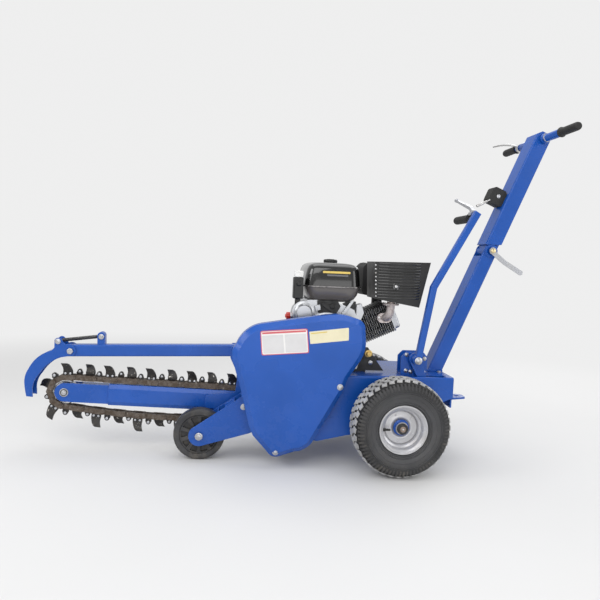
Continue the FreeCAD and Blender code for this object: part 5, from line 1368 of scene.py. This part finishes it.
class TRENCHER_OT_engine_details(bpy.types.Operator):
    """Add the engine's switch box, plugs, brackets, shroud, exhaust pipe and bolts"""

    bl_idname = "trencher.engine_details"
    bl_label = "Engine Details"

    def execute(self, context):
        Shape().block((-413, -142, 655), (-374, -96, 741)).block(
            (-404, -128, 600), (-382, -112, 656)).piece(
            "switch_box", "satin_black", slot="engine_black", round_off=4)
        Shape().block((-409, -140, 741.5), (-375, -106, 767)).piece(
            "switch_top", "white_plastic", round_off=3)
        Shape().lathe([(0, 0), (11, 0), (11, 3), (7.5, 5), (7.5, 10), (0, 11)],
                      (spot(-393, -142, 716), LEFT), steps=24).piece(
            "switch_key", "satin_black", slot="engine_black")
        place = laid(spot(-428, -92, 581), FORE)
        Shape().stack(circle(20, 14.5, wave=1.2), ((-10, 0.95), (-8, 1), (4, 1), (6, 0.8)),
                      place).lathe([(0, 5), (7.5, 5), (7, 10), (0, 10.5)], place, steps=20).piece(
            "oil_plug_knob", "red_plastic")
        Shape().lathe([(0, -6), (16, -6), (16, 1), (12.5, 2), (12.5, 5), (0, 5)],
                      (spot(-85, -104, 435), LEFT), (spot(-152, -104, 392), LEFT), steps=24).piece(
            "drain_collars", "brass")
        bolts("drain_plugs", [(spot(-85, -109, 435), LEFT, 11.5),
                              (spot(-152, -109, 392), LEFT, 10)], "brass", washer=0, high=0.9)
        Shape().plate([(-146, 636), (-124, 642), (-112, 604), (-124, 572), (-146, 580)],
                      -100, -62).plate(
            [(-172, 654), (-160, 654), (-196, 594), (-206, 588), (-214, 594)], -124, -116).plate(
            [(-322, 628), (-300, 634), (-296, 612), (-318, 604)], -120, -112).piece(
            "engine_brackets", "cast_aluminium", slot="cast_aluminium", round_off=1.8)
        Shape().plate([(-312, 650), (-228, 652), (-214, 628), (-232, 598), (-262, 590),
                       (-306, 600)], -116, -110).plate(
            [(-296, 640), (-286, 646), (-244, 622), (-240, 606), (-252, 604), (-290, 628)],
            -123, -117).plate(
            [(-206, 640), (-186, 650), (-150, 650), (-150, 600), (-172, 596)], -108, -100).lathe(
            [(0, 0), (12, 0), (12, 8), (9, 11), (0, 12)], (spot(-250, -115, 628), LEFT),
            steps=28).plate(
            [(-140, 366), (-19, 366), (-60, 420), (-89, 462), (-104, 462)], -104, -98).piece(
            "governor_plate", "dark_metal", round_off=1.2)
        self.exhaust()
        self.air_cleaner()
        self.engine_bolts()
        screws("guard_screws", [(spot(-90 + 7 * k / 8, -167.6, 803 - 15.5 * k), LEFT, 3.6)
                                for k in range(9)])
        louvre = Shape().loft([[Vector((3.6 * y, 3 * x * full, z)) * MM for x, y in circle(10)]
                               for z, full in ((0, 0.3), (4, 1), (170, 1), (174, 0.3))])
        repeated("guard_louvres", louvre, [(spot(-76, -165.2, 811 - 11.5 * k), AFT)
                                           for k in range(13)], "gloss_black",
                 slot="engine_black")
        Shape().lathe([(7.5, -1), (15, -1), (15, 1.2), (13, 2.4), (7.5, 0.6)],
                      (spot(-2, -167.6, 720), LEFT)).piece(
            "guard_eyelet", "gloss_black", slot="engine_black")
        screws("guard_centre_screw", [(spot(-2, -167.4, 720), LEFT, 6.8)])
        Shape().tube([spot(x, y, z) for x, y, z in (
            (-362, 219, 599), (-352, 221, 603), (-334, 222, 613), (-316, 221, 623),
            (-306, 219, 628))], [0.005, 0.0085, 0.0095, 0.0085, 0.005], 16).lathe(
            [(0, 0), (11, 0), (8, 12), (0, 14)], (spot(-330, 212, 596), (-0.1, 0.2, 1)),
            steps=20).piece("starter_grip", "black_plastic", slot="black_plastic")
        return {"FINISHED"}

    @staticmethod
    def engine_bolts():
        """The bolts of the crankcase, starter and valve cover."""
        crank = spot(*CRANK)
        heads = [(crank + Vector((x, -176.2, z)) * MM, LEFT, 7.5)
                 for x, z in ((-122, -100), (-60, -113), (60, -113), (118, -90))]
        heads += [(crank + Vector((x, -122, z)) * MM, LEFT, 6)
                  for x, z in circle(8, 96, math.tau / 16)]
        heads += [(spot(-76, -104.3, 399), LEFT, 6.5)]
        heads += [(crank + Vector((x, 192, z)) * MM, RIGHT, 6.5)
                  for x, z in circle(4, 102, math.tau / 8)]
        along = Vector((math.cos(CYLINDER_TILT), 0, math.sin(CYLINDER_TILT)))
        over = LEFT.cross(along)
        heads += [(crank + along * 0.3085 + (over * up + RIGHT * across) * MM, along, 6)
                  for across in (-44, 44) for up in (-38, 38)]
        bolts("engine_bolts", heads, washer=1.35)

    @staticmethod
    def air_cleaner():
        """The lid, knob and clips of the air cleaner."""
        outline = [Vector(point) for point in (
            (-88, 672), (62, 652), (92, 712), (88, 802), (-68, 812), (-88, 792))]
        centre = sum(outline, Vector((0, 0))) / 6
        lid = Shape()
        for levels in (((176, 1.0), (177, 1.018), (182, 1.018), (183, 1.0)),
                       ((225.4, 0.90), (226.6, 0.885), (228.2, 0.87))):
            lid.loft([[spot(p.x, y, p.y) for p in (
                centre.lerp(corner, share) for corner in round_corners(outline, 6, radius=18))]
                for y, share in levels])
        lid.piece("air_cleaner_lid", "satin_black", slot="engine_black", sharp=50.0)
        Shape().stack(circle(28, 15, wave=1.5), ((0, 1), (10, 1), (13, 0.8)),
                      (spot(4, 228, 738), RIGHT)).piece(
            "air_cleaner_knob", "black_plastic", slot="black_plastic")
        clips = Shape()
        for x, z in ((-10, 809.6), (60, 803.8)):
            clips.block((x - 7, 166, z - 1), (x + 7, 196, z + 2.6))
        clips.piece("air_cleaner_clips", "polished_steel", round_off=1)

    @staticmethod
    def exhaust():
        """The bent pipe between its two flanges."""
        path = [(-4, -110, 654), (-4, -110, 640), (-5, -110, 622), (-7, -109, 608),
                (-12, -104, 596), (-17, -94, 588), (-21, -80, 583), (-23, -68, 581)]
        pipe = Shape().tube([spot(*point) for point in path], [
            0.0165, 0.0165, 0.0168, 0.0172, 0.0174, 0.0174, 0.0172, 0.0172], 28)
        out = Vector((-4, -14, 3))
        for at, along, wide, deep in (((-4, -108, 640), UP, 34, 19),
                                      ((-21, -84, 583.6), out, 31, 21)):
            outline = [(x * reach, y * reach) for x, y in circle(32)
                       for reach in [deep + (wide - deep) * abs(x) ** 1.6]]
            pipe.stack(outline, ((0, 0.97), (1, 1), (7, 1), (8, 0.97)),
                       (spot(*at), along, 1.0, AFT))
        for z, r in ((628, 18.2), (634, 18.0)):
            pipe.lathe([(15, -2.2), (r, -1.2), (r, 1.2), (15, 2.2)],
                       (spot(-4.6, -107.2, z), UP), steps=28)
        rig.replaces(pipe.piece("exhaust_elbow", "exhaust_steel", slot="exhaust", sharp=50.0),
                    "exhaust_pipe")
        bolts("exhaust_nuts", [(spot(-31, -108, 648.2), UP, 5.5), (spot(23, -108, 648.2), UP, 5.5),
                               (spot(-46, -92, 586), out, 5.5), (spot(4, -92, 586), out, 5.5)],
              "polished_steel", washer=0, high=0.8)


# ---------------- handle and levers

HINGE = (441.36, 0, 884.91)
COLUMN_LEAN = math.radians(22.5)
GRIP_RADIUS, GRIP_LONG, GRIP_RINGS = 16.8, 125, 16
LEVER_STEM = 30


def ribbed_grip(name, start, along, long, body):
    """A soft grip: a flange, shallow finger rings and a round end."""
    radius, step = GRIP_RADIUS, (long - 24) / GRIP_RINGS
    outline = [(0, 0), (radius * 0.72, 0), (radius * 1.22, 0.8), (radius * 1.25, 3),
               (radius * 1.06, 6)]
    for k in range(GRIP_RINGS):
        z = 9 + step * k
        outline += [(radius * 0.955, z), (radius, z + step * 0.3), (radius, z + step * 0.75)]
    outline += [(radius * 0.97, long - 10), (radius * 0.86, long - 4),
                (radius * 0.6, long - 0.8), (0, long)]
    return Shape().lathe(outline, (start, along), steps=40).piece(
        name, "grip_rubber", body, "grip", sharp=60.0)


def ball(radius, last, step):
    """The outline of a ball on a bar; its points stop short of the axis by an angle."""
    return [(0, -radius), *arc(radius, -last, last + 1, step), (0, radius)]


class TRENCHER_OT_handle_details(bpy.types.Operator):
    """Add the ribbed grips, bar clamp, catch bolt, lever sleeve and throttle lever"""

    bl_idname = "trencher.handle_details"
    bl_label = "Handle Details"

    def execute(self, context):
        low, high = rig.box("handle_grips")
        bar = (low + high) / 2
        near, far = [ribbed_grip("bar_grip_" + label, Vector((bar.x, side * (
            high.y - GRIP_LONG * MM), bar.z)), RIGHT * side, GRIP_LONG, "handle")
            for side, label in ((-1, "near"), (1, "far"))]
        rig.replaces(near, "handle_grips")
        hinge = spot(*HINGE)
        Shape().lathe([(13.5, 0), (28.5, 0), (28.5, 1.6), (27.5, 2.4), (22.8, 2.4), (21.8, 4.4),
                       (15, 4.4), (13.5, 3.4)], *pair(hinge, 44.9), steps=44).piece(
            "hinge_rings", "blue_paint", slot="paint_blue")
        front = arc(28.1, -88, -3, 12) + arc(30, -88, -3, 12)[::-1]
        cos, sin = math.cos(COLUMN_LEAN), math.sin(COLUMN_LEAN)
        Shape().loft([[hinge + Vector((z * sin - x * cos, y, x * sin + z * cos)) * MM
                       for x, z in front] for y in (-40, 40)]).piece(
            "hinge_front", "blue_paint", slot="paint_blue")
        low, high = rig.box("lever_grip")
        centre = Vector(((low.x + high.x) / 2, low.y, (low.z + high.z) / 2))
        grip = ribbed_grip("depth_grip", centre + RIGHT * LEVER_STEM * MM, RIGHT,
                           (high.y - low.y) / MM - LEVER_STEM, "lever")
        Shape().lathe([(0, 0), (10.8, 0), (10.8, 31), (0, 31)], (centre, RIGHT), steps=28).piece(
            "depth_grip_stem", "polished_steel", "lever")
        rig.replaces(grip, "lever_grip")

        clamp = Shape()
        for place, end in zip(pair(bar, 59.3), (128.5, 86)):
            clamp.lathe([(12.9, 0), (20.5, 0), (20.5, 4), (17.2, 8), (16.6, 12), (16.6, end - 2),
                         (15.2, end), (12.9, end)], place, steps=36)
        clamp.piece("bar_sleeves", "blue_paint", "handle", "paint_blue", sharp=50.0)
        Shape().lathe([(16.5, 0), (18.2, 0.6), (18.2, 9.4), (16.5, 10)], *pair(bar, 74),
                      steps=36).piece("bar_bands", "zinc_plate", "handle")
        bolts("bar_band_bolts", [(bar + Vector((-0.012, side * 0.079, 0.0128)), (-0.68, 0, 0.73),
                                  4.8) for side in (-1, 1)], body="handle", washer=0)
        low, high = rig.box("lever_catch")
        catch = (low + high) / 2 + Vector((3, 0, 2)) * MM
        catch.y = 0
        bolts("catch_bolts", pair(catch, 28.2, 5.6), body="handle", washer=1.5)
        Shape().lathe([(0, 0), (5, 0), (6.2, 2), (6.2, 30), (4.6, 33), (4.6, 50), (2.2, 53),
                       (2.2, 66), (0, 67)], (spot(322, -150, 1061), (0.88, 0.12, 0.45)),
                      steps=20).piece("lever_sleeve", "polished_steel", "lever")
        Shape().lathe(ball(7.5, 70, 20), (spot(294, 8, 1096), RIGHT), steps=20).piece(
            "release_knob", "polished_steel", "lever")
        low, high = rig.box("handlebar")
        bar = Vector(((low.x + high.x) / 2, 0, (low.z + high.z) / 2))
        lever = Shape().lathe([(12.8, 0), (17.5, 0), (18.8, 2), (18.8, 20), (17.5, 22),
                               (12.8, 22)], (bar + RIGHT * 0.152, RIGHT))
        lever.tube([bar + Vector(point) * MM for point in (
            (-14, 163, 6), (-24, 166, 10), (-37, 178, 14), (-49, 204, 19), (-58, 252, 24),
            (-64, 302, 27))], [0.0050, 0.0056, 0.0056, 0.0050, 0.0042, 0.0038])
        lever.lathe(ball(5, 60, 30), (bar + Vector((-64, 304, 27)) * MM, RIGHT), steps=16)
        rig.replaces(lever.piece("squeeze_lever", "polished_steel", "handle"), "grip_lever")
        return {"FINISHED"}


# ---------------- add-on

OPERATORS = [value for name, value in list(globals().items()) if name.startswith("TRENCHER_OT_")]
GROUPS = {"paint": TRENCHER_PG_paint, "tread": TRENCHER_PG_tread,
          "spring": TRENCHER_PG_spring, "stage": TRENCHER_PG_stage}


class TRENCHER_PT_panel(bpy.types.Panel):
    """Lists the trencher's sizes, colours and pieces."""

    bl_idname = "TRENCHER_PT_panel"
    bl_label = "Trencher"
    bl_space_type = "VIEW_3D"
    bl_region_type = "UI"
    bl_category = "Trencher"

    def draw(self, context):
        for group in GROUPS:
            box = self.layout.box()
            values = getattr(context.scene, "trencher_" + group)
            for name in values.__annotations__:
                box.prop(values, name)
        for operator in OPERATORS:
            self.layout.operator(operator.bl_idname)


def register():
    for kind in [*GROUPS.values(), *OPERATORS, TRENCHER_PT_panel]:
        bpy.utils.register_class(kind)
    for name, kind in GROUPS.items():
        setattr(bpy.types.Scene, "trencher_" + name, PointerProperty(type=kind))


def unregister():
    for name in GROUPS:
        delattr(bpy.types.Scene, "trencher_" + name)
    for kind in [TRENCHER_PT_panel, *reversed(OPERATORS), *reversed(list(GROUPS.values()))]:
        bpy.utils.unregister_class(kind)


def main():
    register()
    for operator in OPERATORS:
        name = operator.bl_idname.split(".")[1]
        if getattr(bpy.ops.trencher, name)() != {"FINISHED"}:
            raise RuntimeError(operator.bl_label + " did not finish")
    with open("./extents.json", "w") as sizes:
        json.dump({"cad": CAD_BOX, "visual": [list(corner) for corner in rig.bounds()]}, sizes)


if __name__ == "__main__":
    main()
